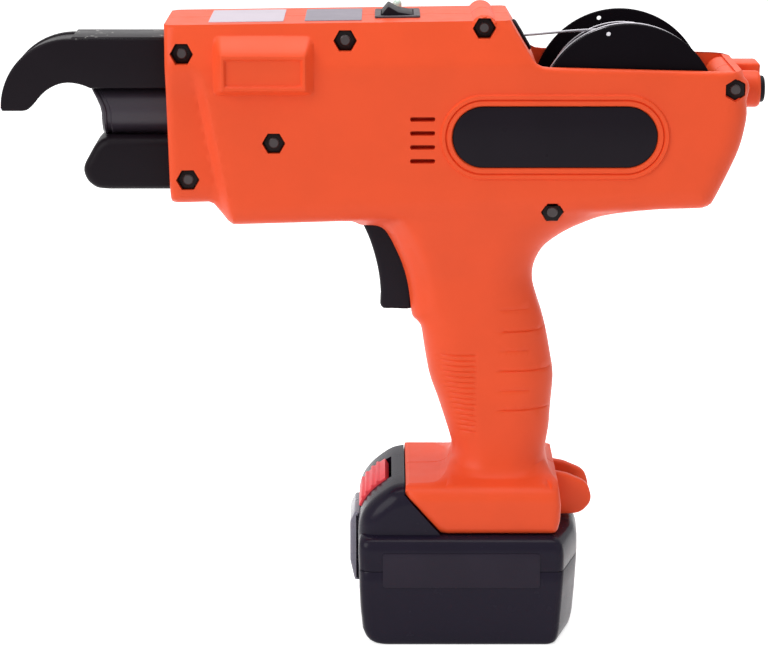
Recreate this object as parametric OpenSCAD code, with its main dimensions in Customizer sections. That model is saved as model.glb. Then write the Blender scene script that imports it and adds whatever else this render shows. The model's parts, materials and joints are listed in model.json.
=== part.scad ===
// Cordless rebar tying tool, as an assembly of separate pieces.
// +Z is up, the jaw points to -X, and the origin lies under the middle of the tool, on the floor.

/* [Head housing] */
// Distance from the middle of the tool to the front face of the head
head_front = 80; // [79:0.5:81]
// Length of the head from its front face to its rear face
head_len = 212.5; // [210:0.5:216]
// Half width of the head across its side faces
head_half_w = 27; // [26.5:0.25:28]
// Height of the top face of the head above the floor, at its front
head_top_z = 235.9; // [232:0.1:242]
// Height of the head from its underside to its top face, at its front
head_h = 73.6; // [73:0.1:74.5]
// Rise of the top face from its front to its rear edge
top_rise = 1.7; // [0.5:0.1:2.5]
// Rise of the underside from its front to its rear
belly_rise = 6; // [5:0.1:6.4]
// Wall of the housing
wall = 2.6; // [2.3:0.1:2.8]
// Rounding of the long edges of the head
head_edge_r = 8; // [6:0.5:8]
// Length of the narrower nose in front of the crease
nose_len = 12.5; // [11.5:0.5:13]
// Half width of the nose
nose_half_w = 24; // [23:0.5:24.5]
// Height of the underside of the nose above the underside of the head
nose_rise = 8.3; // [7.2:0.1:8.7]
// Length of the closed top, from the front face to the slope above the spool
roof_len = 127.7; // [126:0.1:128.5]
// Drop from the top face to the rim of the spool bay, at its front
bay_rim_sink = 12.4; // [11:0.1:14.5]
// Drop of the rim from its front to its rear
bay_rim_drop = 3.2; // [1:0.1:4]
// Wall beside the spool
bay_wall = 2.8; // [2.5:0.1:3]

/* [Housing fasteners] */
// Radius of the housing bolts
bolt_r = 2; // [1.75:0.05:2.1]
// Width of the nuts across their flats
nut_flats = 7; // [6.5:0.1:7.4]
// Thickness of the nuts
nut_h = 3.2; // [2.6:0.1:4]
// Radius of the bolt heads
bolt_head_r = 3.5; // [3.2:0.1:3.8]
// Height of the bolt heads
bolt_head_h = 4; // [3:0.1:4.5]

/* [Handle] */
// Depth of the handle from front to rear
handle_depth = 46; // [45:0.5:47.5]
// Half width of the handle
handle_half_w = 18; // [17.5:0.25:19]
// Half width of the hollow in the handle
grip_hollow_half_w = 12; // [11:0.25:12.5]

/* [Foot] */
// Distance from the middle of the tool to the front of the foot
foot_front_x = 8; // [7.5:0.1:9]
// Length of the foot
foot_len = 59; // [58.5:0.1:60]
// Half width of the foot
foot_half_w = 32.5; // [31:0.25:33]
// Height of the underside of the foot above the floor
foot_z = 43; // [42.5:0.1:43.5]
// Height of the foot
foot_h = 19; // [18.8:0.1:19.5]
// Gap between the two strap ears
ear_gap = 12; // [10:0.5:14]
// Thickness of a strap ear
ear_t = 4; // [3:0.25:5]
// Radius of the strap bar
strap_bar_r = 2; // [1.5:0.1:2.4]

/* [Trigger] */
// Half width of the trigger
trigger_half_w = 6.5; // [6:0.1:6.8]
// Radius of the trigger pin
trigger_pin_r = 1.5; // [1.2:0.1:2]
// Turns of the trigger spring
trigger_spring_turns = 6; // [4:1:7]
// Radius of the trigger spring
trigger_spring_r = 3; // [2.5:0.1:3.5]

/* [Battery] */
// Distance from the middle of the tool to the front of the battery
battery_front = 9.8; // [9.6:0.1:10]
// Length of the battery at its sides
battery_len = 79.8; // [79:0.1:81]
// Depth of the bowed rear end of the battery
battery_bow = 5.6; // [4:0.1:7]
// Half width of the battery
battery_half_w = 37; // [36.5:0.1:38]
// Height of the parting line above the floor
battery_split_z = 30; // [29:0.1:31]
// Wall of the battery case
battery_wall = 2.5; // [2.2:0.1:2.6]
// Radius of a battery cell
cell_r = 9.1; // [8.8:0.05:9.2]
// Gap between the ends of the cells and the battery case
cell_gap = 2; // [1.8:0.1:3.5]
// Width of the release button
release_w = 25; // [20:0.5:28]
// Length of the release button along the slope
release_len = 13; // [11:0.5:14]

/* [Jaw] */
// Reach of the hook in front of the head
jaw_reach = 63; // [62:0.5:64]
// Half thickness of the jaw over its two side plates
jaw_half_w = 11; // [10.5:0.1:11.3]
// Thickness of a side plate of the jaw
jaw_plate_t = 4; // [3.5:0.1:4.5]
// Radius of the outside of the hook
hook_outer_r = 28.6; // [28:0.1:29]
// Radius of the throat that goes around the bars
throat_r = 12.8; // [12:0.1:13]
// Drop from the top face of the head to the top of the jaw
jaw_drop = 6.7; // [6.3:0.1:7.1]
// Half width of the lower jaw
lower_jaw_half_w = 13; // [12:0.25:13.5]
// Radius of the nose barrel
barrel_r = 9.75; // [9.5:0.05:9.9]

/* [Twisting drive] */
// Height of the twisting axis above the underside of the head
twist_rise = 39.2; // [39:0.1:39.5]
// Radius of the twisting motor
motor_r = 18; // [17:0.1:18.2]
// Length of the twisting motor
motor_len = 50; // [46:0.5:52]
// Module of the gears
gear_module = 0.8; // [0.78:0.01:0.82]
// Teeth of the sun pinion
sun_teeth = 12;
// Teeth of each planet gear
planet_teeth = 15;
// Number of planet gears
planet_count = 3;
// Face width of the planet gears
planet_w = 6; // [5:0.25:7]
// Radius of the twisting spindle in its bearing
spindle_r = 4; // [3.8:0.05:4.05]

/* [Feed drive] */
// Teeth of each feed wheel
feed_wheel_teeth = 14;
// Teeth of the reduction gear
feed_gear_teeth = 20;
// Teeth of the feed motor's pinion
feed_pinion_teeth = 12;
// Half width of a feed wheel
feed_wheel_half_w = 3; // [2.5:0.1:3.2]
// Radius of the feed motor
feed_motor_r = 9.3; // [8.5:0.1:9.4]
// Radius of the tie wire
wire_r = 0.5; // [0.4:0.05:0.5]

/* [Spool] */
// Radius of the spool flanges
flange_r = 32.5; // [31:0.1:32.8]
// Half width of the spool over its flanges
spool_half_w = 22; // [21.5:0.1:22.4]
// Thickness of a spool flange
flange_t = 1.6; // [1.2:0.1:2]
// Radius of the middle of the outer turns of wire
winding_r = 26.2; // [25:0.1:26.4]
// Radius of the drawn turns of wire
turn_r = 0.75; // [0.7:0.01:0.76]
// Number of drawn turns in the outer layer
turn_count = 18; // [16:1:18]
// Radius of the spool axle
axle_r = 5; // [4.5:0.1:5.5]

/* [Controls on top] */
// Length of the rocker's bezel
bezel_len = 16.8; // [15:0.1:17.5]
// Half width of the rocker's bezel
bezel_half_w = 11; // [10:0.1:12]
// Radius of the indicator lens
lens_r = 2.6; // [2:0.1:3]
// Radius of the rear barrel around the push button
rear_barrel_r = 6.9; // [6.6:0.1:7.2]
// Radius of the rear push button
rear_button_r = 5; // [4.5:0.1:5.2]

/* [Hidden] */
$fn = 64;

// Shared clearances and overruns
over = 1;
fit = 0.05;
press = 0.02;
slip = 0.15;
seat = 0.3;
run = 0.4;
blend_fn = 24;

// Colours
orange = [0.93, 0.33, 0.17];
black = [0.06, 0.06, 0.07];
dark = [0.1, 0.1, 0.12];
steel = [0.7, 0.7, 0.72];
bright_steel = [0.82, 0.82, 0.84];
brass = [0.75, 0.6, 0.3];
red = [0.75, 0.08, 0.08];
pale = [0.9, 0.9, 0.88];
grey = [0.6, 0.6, 0.6];
green = [0.12, 0.4, 0.2];
lens_green = [0.7, 0.85, 0.75];
cell_blue = [0.15, 0.35, 0.6];

// Heights in the head
head_bottom_z = head_top_z - head_h;
nose_bottom_z = head_bottom_z + nose_rise;
bay_rim_z = head_top_z - bay_rim_sink;
jaw_top_z = head_top_z - jaw_drop;
twist_z = head_bottom_z + twist_rise;

// Places along the head
head_front_x = -head_front;
nose_x = head_front_x + nose_len;
slope_x = head_front_x + roof_len;
slope_run = 11;
bay_x = slope_x + slope_run;
bay_inner_x = bay_x - wall;
tail_x = head_front_x + head_len;
crease_lean = 2;
chin_run = 9.6;
chin_rise = 0.8;
front_lean = 0.8;
roof_tilt = atan(top_rise / roof_len);
function roof_z(x) = head_top_z + top_rise * (x - head_front_x) / roof_len;
function belly_z(x) = head_bottom_z + belly_rise * (x - nose_x) / (tail_x - nose_x);
function rim_z(x) = bay_rim_z - bay_rim_drop * (x - bay_x) / (tail_x - bay_x);

// The rear of the tail is a stretched arc from its straight back to its underside
tail_arc_run = 14.6;
tail_arc_top_share = 0.605;
tail_arc_steps = 6;
tail_arc_power_share = 1.5;
tail_arc_z = head_bottom_z + tail_arc_top_share * (head_top_z - head_bottom_z);
function tail_arc(t, inset) = [
  tail_x - tail_arc_run + (tail_arc_run - inset) * pow(cos(t), tail_arc_power_share),
  tail_arc_z - (tail_arc_z - belly_z(tail_x - tail_arc_run) - inset) * sin(t)
];

// Outlines seen from the side, as [x, z], set in by inset
function main_points(inset) = [
  [nose_x - crease_lean + inset, roof_z(nose_x - crease_lean) - inset],
  [slope_x - inset * slope_run / (head_top_z - bay_rim_z), roof_z(slope_x) - inset],
  [bay_x - inset, rim_z(bay_x) - inset],
  [bay_x - inset, belly_z(bay_x) + inset],
  [nose_x + chin_run + inset, belly_z(nose_x + chin_run) + inset],
  [nose_x + crease_lean + inset, nose_bottom_z + chin_rise + inset]
];
function tail_points(front, inset, top) = concat(
  [[front, belly_z(front) + inset], [front, top], [tail_x - inset, top]],
  [for (i = [0:tail_arc_steps]) tail_arc(i * 90 / tail_arc_steps, inset)]
);
function nose_points(inset, lap) = [
  [head_front_x - front_lean + inset, roof_z(head_front_x) - inset],
  [nose_x + lap, roof_z(nose_x) - inset],
  [nose_x + lap, nose_bottom_z + inset],
  [head_front_x + front_lean + inset, nose_bottom_z + inset]
];
nose_lap = 6;
tail_lap = 24;
hollow_edge_inset = 6;
hollow_narrow_half_w = head_half_w - bay_wall - wall;

// Housing bolts: share of the head's length, share of its height, half width of the pad under the
// nut, where the boss starts as a share of that, and the share of the boss's full radius
bolt_place_shares = [
  [0.0273, 0.865, 0.88, 0.56, 1], [0.0348, 0.224, 0.95, 0.6, 1], [0.3096, 0.947, 0.86, 0, 0.8],
  [0.1845, 0.425, 1.02, 0.46, 0.8], [0.5492, 0.986, 0.82, 0, 1], [0.6673, 0.068, 0.9, 0, 1],
  [0.9826, 0.682, 0.94, 0, 1]
];
function bolt_x(b) = head_front_x + b[0] * head_len;
function bolt_z(b) = head_bottom_z + b[1] * (head_top_z - head_bottom_z);
function bolt_pad(b) = b[2] * head_half_w;
function bolt_boss(b) = b[3] * bolt_pad(b);
boss_wall = 1.8;
boss_r = bolt_head_r + 2 * slip + boss_wall;
nut_sink = 1;
bolt_clear = 0.2;
nut_r = nut_flats / 2 / cos(30);
nut_turn_shares = [0, 0, 0, 0, 0, 0, 1];
bolt_end = 0.6;

// Handle slices: share of the height, front and rear as shares of the depth, share of the width
handle_lap = 2;
handle_z = foot_z + foot_h - handle_lap;
handle_sink = 1.7;
handle_h = head_bottom_z + handle_sink - handle_z;
handle_rear_x = 64.5;
handle_slice_shares = [
  [0, 0.82, 1.02, 1.12], [0.1, 0.8, 1, 1.03], [0.26, 0.905, 0.972, 1], [0.38, 1, 1, 1],
  [0.38, 1, 1, 1], [0.57, 1.11, 0.95, 1.02], [0.74, 1.228, 0.84, 1.04],
  [0.74, 1.228, 0.84, 1.04], [0.86, 1.31, 0.94, 1.16], [1.06, 1.5, 1.56, 1.42]
];
handle_group_shares = [[0, 3], [4, 6], [7, 9]];
handle_corner_r = 11;
slice_t = 0.2;
function handle_front(s) = handle_rear_x - s[1] * handle_depth;
function handle_rear(s) = handle_rear_x - handle_depth + s[2] * handle_depth;
function handle_level(s) = handle_z + s[0] * handle_h;
hollow_front = 7;
hollow_rear = 6;

// Foot and the slide that holds the battery
foot_top_z = foot_z + foot_h;
foot_rear_x = foot_front_x + foot_len;
foot_nose_h = 3.5;
foot_chamfer = 13.8;
foot_edge_r = 4;
tongue_half_w = 20;
tongue_neck_half_w = 17;
tongue_lip_h = 4.2;
tongue_h = 9.2;
slide_top_z = foot_z + tongue_h + run;
slide_end_wall = 2;
slide_rear_x = foot_rear_x - wall - slide_end_wall;
block_room_h = 6.8;
block_front_x = foot_front_x + foot_len / 4;
ear_reach = 13;
ear_profile_shares = [[-0.1, 0.05], [0.3, 0], [0.85, 0.12], [1, 0.42], [0.8, 0.92], [-0.1, 1]];
strap_bar_share = 0.62;

// Trigger
trigger_pin_x = 7;
trigger_pin_drop = 2.3;
trigger_pin_z = head_bottom_z - trigger_pin_drop;
trigger_hub_r = 4.2;
trigger_drop = 34.9;
trigger_nose = 14.5;
trigger_profile_shares = [
  [-1, -0.05], [-0.72, -0.4], [-0.59, -0.73], [-0.57, -0.95], [-0.46, -1], [0.2, -1], [0.5, -0.8],
  [0.42, -0.4], [0.28, 0], [-0.2, 0.1]
];
trigger_slot_half_w = trigger_half_w + seat;
trigger_slot_run = 18;
trigger_slot_back = 16;
trigger_slot_gap = 1.6;
trigger_slot_drop = trigger_drop + trigger_slot_gap;
trigger_slot_rise = 8;
trigger_pin_half_len = 11;
trigger_boss_r = 4;
switch_gap = 16.4;
switch_len = 20;
switch_drop = 10;
switch_h = 20;
spring_drop = 20;
spring_wire_r = 0.35;
spring_rings = 8;
trigger_spring_len = 8.6;
spring_seat_x = trigger_pin_x + switch_gap - trigger_spring_len - seat;

// Control board
board_rise = 9.2;
board_z = head_bottom_z + board_rise;
board_t = 1.6;
board_len = 50;
board_half_w = 18;
board_setback = 15.5;
board_front_x = nose_x + board_setback;
board_chip_h = 2;
post_r = 3;

// Twisting drive, from the nose to the rear
barrel_reach = 25.5;
barrel_front_x = head_front_x - barrel_reach;
root_depth = 10.5;
root_rear_x = head_front_x + root_depth;
frame_setback = 29.5;
frame_front_x = head_front_x + frame_setback;
frame_len = 14.5;
frame_rear_x = frame_front_x + frame_len;
frame_half_w = 12;
frame_h = 21.5;
frame_rise = 10.5;
frame_top_z = twist_z + frame_rise;
bearing_r = 8;
bearing_w = 5;
gearbox_len = 20;
gearbox_wall = 2.2;
gearbox_front_t = 3;
motor_front_x = frame_rear_x + gearbox_len;
ring_teeth = sun_teeth + 2 * planet_teeth;
pitch_half = gear_module / 2;
sun_r = sun_teeth * pitch_half;
planet_r = planet_teeth * pitch_half;
ring_r = ring_teeth * pitch_half;
orbit_r = sun_r + planet_r;
tip_share = 0.8;
root_share = 1.15;
slack_share = 0.16;
tooth_tip = tip_share * gear_module;
tooth_root = root_share * gear_module;
tooth_slack = slack_share * gear_module;
gearbox_r = ring_r + tooth_root + gearbox_wall;
pressure_angle = 25;
flank_steps = 3;
carrier_t = 3.5;
carrier_gap = 0.8;
carrier_x = frame_rear_x + gearbox_front_t + carrier_gap;
planet_x = carrier_x + carrier_t + run;
planet_pin_r = 1.6;
carrier_rim = 1;
carrier_r = orbit_r + planet_pin_r + carrier_rim;
motor_shaft_r = 1.6;
motor_shaft_sink = 10;
motor_boss_r = 6.5;
motor_boss_h = 2;
motor_tail_r = 7;
motor_tail_h = 3;
rib_t = 3;
rib_rise = 0.8;
rib_top_z = twist_z + gearbox_r + rib_rise;
rib_drop = 26;
spindle_nose_r = 3;
spindle_setback = 8.5;
spindle_front_x = barrel_front_x + spindle_setback;
spindle_step = 4;
spindle_step_x = root_rear_x + spindle_step;
barrel_bore_r = 6.5;
bush_len = 6;
sleeve_len = 14;
sleeve_wall = 0.9;
sleeve_web = 3;
sleeve_gap = 2;
sleeve_front_x = root_rear_x - bush_len - sleeve_gap - sleeve_len;
hook_pivot_setback = 4;
hook_pivot_x = spindle_front_x + hook_pivot_setback;
hook_pivot_rise = 2.7;
hook_pin_r = 0.8;
hook_half_w = 1.1;
hook_half_h = 1;
hook_len = 11;
hook_splay = 5;
hook_claw = 1.2;
holder_len = 7;
holder_r = 4.9;

// Jaw
hook_tip_x = head_front_x - jaw_reach;
hook_center_x = hook_tip_x + hook_outer_r;
hook_center_z = jaw_top_z - hook_outer_r;
throat_shift = 3.6;
throat_sink = 0.4;
hook_tip_lift = 1.4;
throat_x = hook_center_x - throat_shift;
throat_z = hook_center_z - throat_sink;
hook_tip_z = hook_center_z + hook_tip_lift;
arm_lap = 0.5;
root_rise = 3.4;
lower_lap = 1.2;
lower_gap = 0.1;
lower_reach = 6.6;
arm_bottom_z = twist_z + barrel_r - arm_lap;
root_top_z = jaw_top_z + root_rise;
lower_top_z = twist_z - barrel_r + lower_lap;
lower_bottom_z = nose_bottom_z + wall + lower_gap;
lower_nose_x = barrel_front_x - lower_reach;
lower_profile_shares = [[0.02, 0.46], [0.3, 0.83], [0.58, 1], [1, 1], [1, 0], [0.22, 0], [0.05, 0.1]];
lower_nose_len = 12;
wire_groove_r = 0.7;

// Feed drive above the spindle frame
feed_setback = 21.4;
feed_x = head_front_x + feed_setback;
feed_wire_drop = 14.6;
feed_wire_z = head_top_z - feed_wire_drop;
feed_wheel_r = feed_wheel_teeth * pitch_half;
feed_gear_r = feed_gear_teeth * pitch_half;
feed_pinion_r = feed_pinion_teeth * pitch_half;
feed_drive_z = feed_wire_z - feed_wheel_r;
feed_idler_z = feed_wire_z + feed_wheel_r;
feed_motor_drop = 11.8;
feed_motor_z = head_top_z - feed_motor_drop;
feed_mesh_angle = asin((feed_motor_z - feed_drive_z) / (feed_gear_r + feed_pinion_r));
feed_motor_x = feed_x + (feed_gear_r + feed_pinion_r) * cos(feed_mesh_angle);
feed_plate_t = 2.5;
feed_plate_y = 9.5;
feed_motor_plate_y = 4;
feed_motor_plate_t = 2;
feed_gear_w = 3.5;
feed_gear_y = 5;
feed_shaft_r = 1.5;
feed_motor_shaft_r = 1;
feed_motor_len = 15.4;
feed_plate_lap = 7.5;
feed_plate_rise = 5.4;

// Wire path: from the spool through the inlet to the feed wheels
spool_x = 90;
spool_rise = 41.1;
spool_z = head_bottom_z + spool_rise;
inlet_run = 2.6;
inlet_x = slope_x + inlet_run;
inlet_drop = 5.9;
inlet_z = head_top_z - inlet_drop;
wire_slope = (inlet_z - feed_wire_z) / (inlet_x - feed_x);
wire_reach = 6;
wire_end_x = head_front_x - wire_reach;
function wire_z(x) = feed_wire_z + wire_slope * (x - feed_x);
wire_tilt = atan(wire_slope);
strand_top_z = spool_z + winding_r + turn_r + seat + wire_r;
tube_r = 1.5;
tube_bore_r = 0.9;
tube_gap = 3;
tube_setback = 5;
tube_front_x = feed_motor_x + feed_motor_shaft_r + tube_gap;
tube_rear_x = slope_x - tube_setback;
bush_r = 4;
bush_t = 2;
bush_shank = 5;

// Spool
hub_r = 12;
turn_spare_share = 0.1;
turn_pitch = (2 * (spool_half_w - flange_t) - 2 * turn_r - 2 * seat) / (turn_count + turn_spare_share);
loop_rings = 24;
tube_sides = 6;
rim_hole_r = 1.3;
rim_hole_angle = 105;
rim_hole_inset = 2.1;
axle_seat = 2;
axle_half_len = head_half_w - bay_wall + axle_seat;
axle_boss_r = 9;

// Side plates, vents and bulge on the head
plate_x = 62.9;
plate_rise = 33.1;
plate_z = head_bottom_z + plate_rise;
plate_len = 75.5;
plate_h = 22.8;
plate_t = 1.2;
plate_sink = 0.8;
border_w = 4.2;
border_rise = 0.7;
vent_x = 14.3;
vent_len = 8.8;
vent_h = 1.3;
vent_top_rise = 39.8;
vent_top_z = head_bottom_z + vent_top_rise;
vent_pitch = 5.2;
vent_count = 4;
bulge_x = -43.2;
bulge_drop = 13.6;
bulge_z = head_top_z - bulge_drop;
bulge_len = 34.8;
bulge_h = 21.2;
bulge_rise = 4.2;
bulge_bevel = 3.2;

// Top controls
bezel_x = 5;
bezel_rise = 0.8;
bezel_sink = 4;
bezel_rim = 2.4;
rocker_gap = 0.4;
rocker_h = 3;
rocker_lift = 2.6;
rocker_pin_r = 1;
lens_y = 15;
label_t = 0.3;
label_front_x = -51.5;
label_front_len = 29;
label_front_half_w = 15;
label_rear_x = -17.4;
label_rear_len = 18.4;
label_rear_half_w = 12;

// Rear barrel and lug
rear_barrel_rise = 46.7;
rear_barrel_z = head_bottom_z + rear_barrel_rise;
rear_barrel_len = 9.6;
rear_button_len = 7.5;
rear_button_show = 0.9;
lug_len = 10;
lug_y = 9;
lug_w = 13;
lug_rise = 45.2;
lug_z = head_bottom_z + lug_rise;
lug_h = 9;
lug_hole_r = 2.6;

// Battery
battery_front_x = -battery_front;
battery_rear_x = battery_front_x + battery_len;
battery_top_z = foot_z - seat;
battery_corner = 4;
battery_rear_corner = 15;
// Slices: height share, front inset and rear inset as shares of the height, side inset share
battery_lower_shares = [
  [0, 0.27, 0.15, 0.11], [0.06, 0.18, 0.12, 0.03], [0.2, 0.11, 0.08, 0], [1, 0.03, 0, 0]
];
battery_upper_shares = [[0, 0.02, 0, 0], [0.75, 0, 0.02, 0], [1, 0.06, 0.16, 0.22]];
dome_len = 17.4;
dome_half_w = 32;
dome_edge_r = 6;
dome_slope_z = 46.6;
dome_slope_run = 11.7;
dome_slope_rise = 13.6;
dome_angle = atan(dome_slope_rise / dome_slope_run);
release_t = 3;
release_depth = 7;
release_proud = 1.4;
release_rib_count = 5;
release_rib_r = 0.8;
release_spring_len = 4;
release_spring_r = 2.6;
release_spring_turns = 4;
cell_pitch = 18.5;
cell_x = 14.5;
cell_low_z = 12.2;
cell_columns = 3;
cell_len = 2 * (battery_half_w - battery_wall - cell_gap);
cell_rows = 2;
holder_t = 3;
holder_y = 24;
holder_edge = 0.2;
board_x = 3;
battery_board_t = 1.6;
battery_board_half_w = 20;
battery_board_z = 6;
battery_board_h = 31;
blade_t = 1;
blade_count = 3;
blade_pitch = 10;
blade_len = 18;
blade_h = 5.5;
blade_x = 34;
label_x = 29.4;
label_z = 30.4;
battery_label_len = 59.6;
battery_label_h = 13.6;
battery_label_t = 0.4;
screw_r = 1.25;
screw_head_r = 2.4;
screw_head_h = 1.6;
screw_sink = 0.6;
screw_len = 34;
screw_post_r = 3.1;
screw_y = 26;
screw_front_x = 1.5;
screw_rear_x = 64.9;
tab_t = 3.4;
tab_half_w = 13;
tab_z = 15;
tab_h = 31;

// Basic shapes between two places
module box(x, y, z) {
  translate([x[0], y[0], z[0]]) cube([x[1] - x[0], y[1] - y[0], z[1] - z[0]]);
}
module along_y(y0, y1) {
  translate([0, y1, 0]) rotate([90, 0, 0]) linear_extrude(y1 - y0) children();
}
module bar_y(x, z, r, y0, y1) {
  translate([x, y1, z]) rotate([90, 0, 0]) cylinder(r = r, h = y1 - y0);
}
module bar_x(x0, x1, z, r) {
  translate([x0, 0, z]) rotate([0, 90, 0]) rotate(90) cylinder(r = r, h = x1 - x0);
}
module both_sides() {
  children();
  mirror([0, 1, 0]) children();
}
module on_roof(x, y) {
  translate([x, y, roof_z(x)]) rotate([0, -roof_tilt, 0]) children();
}
module on_wire(x) {
  translate([x, 0, wire_z(x)]) rotate([0, 90 - wire_tilt, 0]) rotate(90) children();
}
module stadium(length, height, grow) {
  r = height / 2 + grow;
  translate([-length / 2 + height / 2, 0]) circle(r);
  translate([length / 2 - height / 2, 0]) circle(r);
  translate([-length / 2 + height / 2, -r]) square([length - height, 2 * r]);
}
// A flat outline swept out to one side, with its outer edge rounded
module rounded_side(half_w, edge_r) {
  hull() for (a = [0, 30, 60, 90]) {
    along_y(-(half_w - edge_r * (1 - sin(a))), 0) offset(delta = -edge_r * (1 - cos(a))) children();
  }
}

// Involute teeth: half the angle of a tooth at radius r, and the outline of a gear
function involute(a) = tan(a) * 180 / PI - a;
function tooth_half(r, pitch_r, teeth, grow) =
  90 / teeth + grow * 90 / PI / pitch_r + involute(pressure_angle)
  - involute(acos(min(1, pitch_r * cos(pressure_angle) / r)));
function gear_flank(teeth, low, high, grow, side) = [
  for (i = [0:flank_steps])
    let (
      step = side < 0 ? i : flank_steps - i,
      r = low + (high - low) * step / flank_steps,
      a = side * tooth_half(r, teeth * pitch_half, teeth, grow)
    )
    [r, a]
];
function gear_points(teeth, low, high, grow) = [
  for (t = [0:teeth - 1], p = concat(
    gear_flank(teeth, low, high, grow, -1), gear_flank(teeth, low, high, grow, 1)))
    [p[0] * cos(t * 360 / teeth + p[1]), p[0] * sin(t * 360 / teeth + p[1])]
];
module gear_outline(teeth) {
  r = teeth * pitch_half;
  polygon(gear_points(teeth, r - tooth_root, r + tooth_tip, -tooth_slack));
}
module ring_cut() {
  polygon(gear_points(ring_teeth, ring_r - tooth_tip, ring_r + tooth_root, tooth_slack));
}

// One unbroken tube through given points: rings of six sides square to the path
function unit(v) = v / norm(v);
function ring_points(p, d, up, r) = let (s = unit(cross(d, up)), u = cross(s, d)) [
  for (i = [0:tube_sides - 1]) p + r * (cos(i * 360 / tube_sides) * s + sin(i * 360 / tube_sides) * u)
];
module tube(path, up, r) {
  last = len(path) - 1;
  rings = [
    for (i = [0:last])
      ring_points(path[i], unit(path[min(i + 1, last)] - path[max(i - 1, 0)]), up, r)
  ];
  sides = [
    for (i = [0:last - 1], k = [0:tube_sides - 1])
      let (a = i * tube_sides + k, b = i * tube_sides + (k + 1) % tube_sides)
      each [[a, b, b + tube_sides], [a, b + tube_sides, a + tube_sides]]
  ];
  ends = [
    for (k = [1:tube_sides - 2])
      each [[0, k + 1, k], [last * tube_sides, last * tube_sides + k, last * tube_sides + k + 1]]
  ];
  polyhedron([for (ring = rings) each ring], concat(sides, ends), convexity = 10);
}
// A coil about its own Z axis with straight ends one tube diameter long
function coil_point(t, r, pitch) = [r * cos(360 * t), r * sin(360 * t), pitch * t];
function coil_path(r, pitch, turns, per_turn, tube_r) = let (
  n = turns * per_turn,
  body = [for (i = [0:n]) coil_point(i / per_turn, r, pitch)],
  first = unit(body[0] - body[1]) * 2 * tube_r,
  last = unit(body[n] - body[n - 1]) * 2 * tube_r
) concat([body[0] + first], body, [body[n] + last]);
module coil(r, pitch, turns, per_turn, tube_r) {
  path = coil_path(r, pitch, turns, per_turn, tube_r);
  tube(path, [0, 0, 1], tube_r);
}

// Solid of the housing on the left of the mid plane, before it is hollowed
module handle_slice(s) {
  length = handle_rear(s) - handle_front(s);
  width = 2 * s[3] * handle_half_w;
  translate([handle_front(s), -width / 2, handle_level(s)]) linear_extrude(slice_t)
    offset(handle_corner_r, $fn = blend_fn) offset(delta = -handle_corner_r) square([length, width]);
}
module foot_outline() {
  polygon([
    [foot_front_x, foot_top_z], [foot_rear_x, foot_top_z], [foot_rear_x, foot_z],
    [foot_front_x + foot_chamfer, foot_z], [foot_front_x, foot_top_z - foot_nose_h]
  ]);
}
module housing_mass() {
  rounded_side(head_half_w, head_edge_r) polygon(main_points(0));
  rounded_side(head_half_w, head_edge_r)
    polygon(tail_points(bay_x - tail_lap, 0, bay_rim_z + head_edge_r));
  rounded_side(nose_half_w, foot_edge_r) polygon(nose_points(0, nose_lap));
  for (g = handle_group_shares) hull() for (i = [g[0]:g[1]]) handle_slice(handle_slice_shares[i]);
  rounded_side(foot_half_w, foot_edge_r) foot_outline();
}
module above_rim() {
  rise = 2 * (head_top_z - bay_rim_z);
  along_y(-head_half_w - over, head_half_w + over) polygon([
    [bay_x - slip, bay_rim_z], [tail_x + over, rim_z(tail_x + over)], [tail_x + over, bay_rim_z + rise],
    [bay_x - slip - slope_run * rise / (roof_z(slope_x) - bay_rim_z), bay_rim_z + rise]
  ]);
}
module handle_hollow_outline() {
  inner = [for (i = [1, 2, 3, 5, 6, 8, 9]) handle_slice_shares[i]];
  count = len(inner) - 1;
  polygon(concat(
    [for (s = inner) [handle_front(s) + hollow_front, handle_level(s)]],
    [for (i = [count:-1:0]) [handle_rear(inner[i]) - hollow_rear, handle_level(inner[i])]]
  ));
}
module housing_hollow() {
  along_y(-hollow_narrow_half_w, over) polygon([
    for (p = main_points(wall)) [min(p[0], bay_inner_x - 2 * wall), p[1]]]);
  along_y(-(head_half_w - bay_wall), over) polygon([
    for (p = main_points(hollow_edge_inset)) [min(p[0], bay_inner_x - 2 * wall), p[1]]]);
  along_y(-(nose_half_w - wall), over) polygon(nose_points(wall, nose_lap));
  along_y(-(head_half_w - bay_wall), over) polygon(tail_points(bay_inner_x, wall, head_top_z + over));
  along_y(-grip_hollow_half_w, over) handle_hollow_outline();
}
module foot_hollow() {
  room = [block_front_x, slide_rear_x];
  slide = [foot_front_x - over, slide_rear_x];
  box(slide, [-tongue_neck_half_w - run, over], [foot_z - over, slide_top_z]);
  box(slide, [-tongue_half_w - run, over], [foot_z + tongue_lip_h - run, slide_top_z]);
  box(room, [-tongue_half_w, over], [foot_z, slide_top_z + block_room_h]);
  box([room[0] + wall * 6, room[1] - wall * 2], [-grip_hollow_half_w, over],
    [foot_z + foot_h / 2, foot_top_z + wall * 4]);
  for (i = [0:blade_count - 1]) blade_slot(i, foot_front_x - over, block_front_x + over);
}
module blade_slot(i, x0, x1) {
  y = (i - (blade_count - 1) / 2) * blade_pitch;
  box([x0, x1], [y - blade_t / 2 - run, y + blade_t / 2 + run], [slide_top_z - over, slide_top_z + blade_h]);
}
module jaw_opening() {
  x = [head_front_x - 2 * over, head_front_x + 2 * wall];
  box(x, [-jaw_half_w - seat, over], [lower_top_z, jaw_top_z + seat]);
  box(x, [-lower_jaw_half_w - seat, over], [lower_bottom_z - slip, lower_top_z + seat]);
}
module trigger_slot() {
  box([trigger_pin_x - trigger_slot_run, trigger_pin_x + trigger_slot_back], [-trigger_slot_half_w, over],
    [trigger_pin_z - trigger_slot_drop, trigger_pin_z + trigger_slot_rise]);
}
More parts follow.
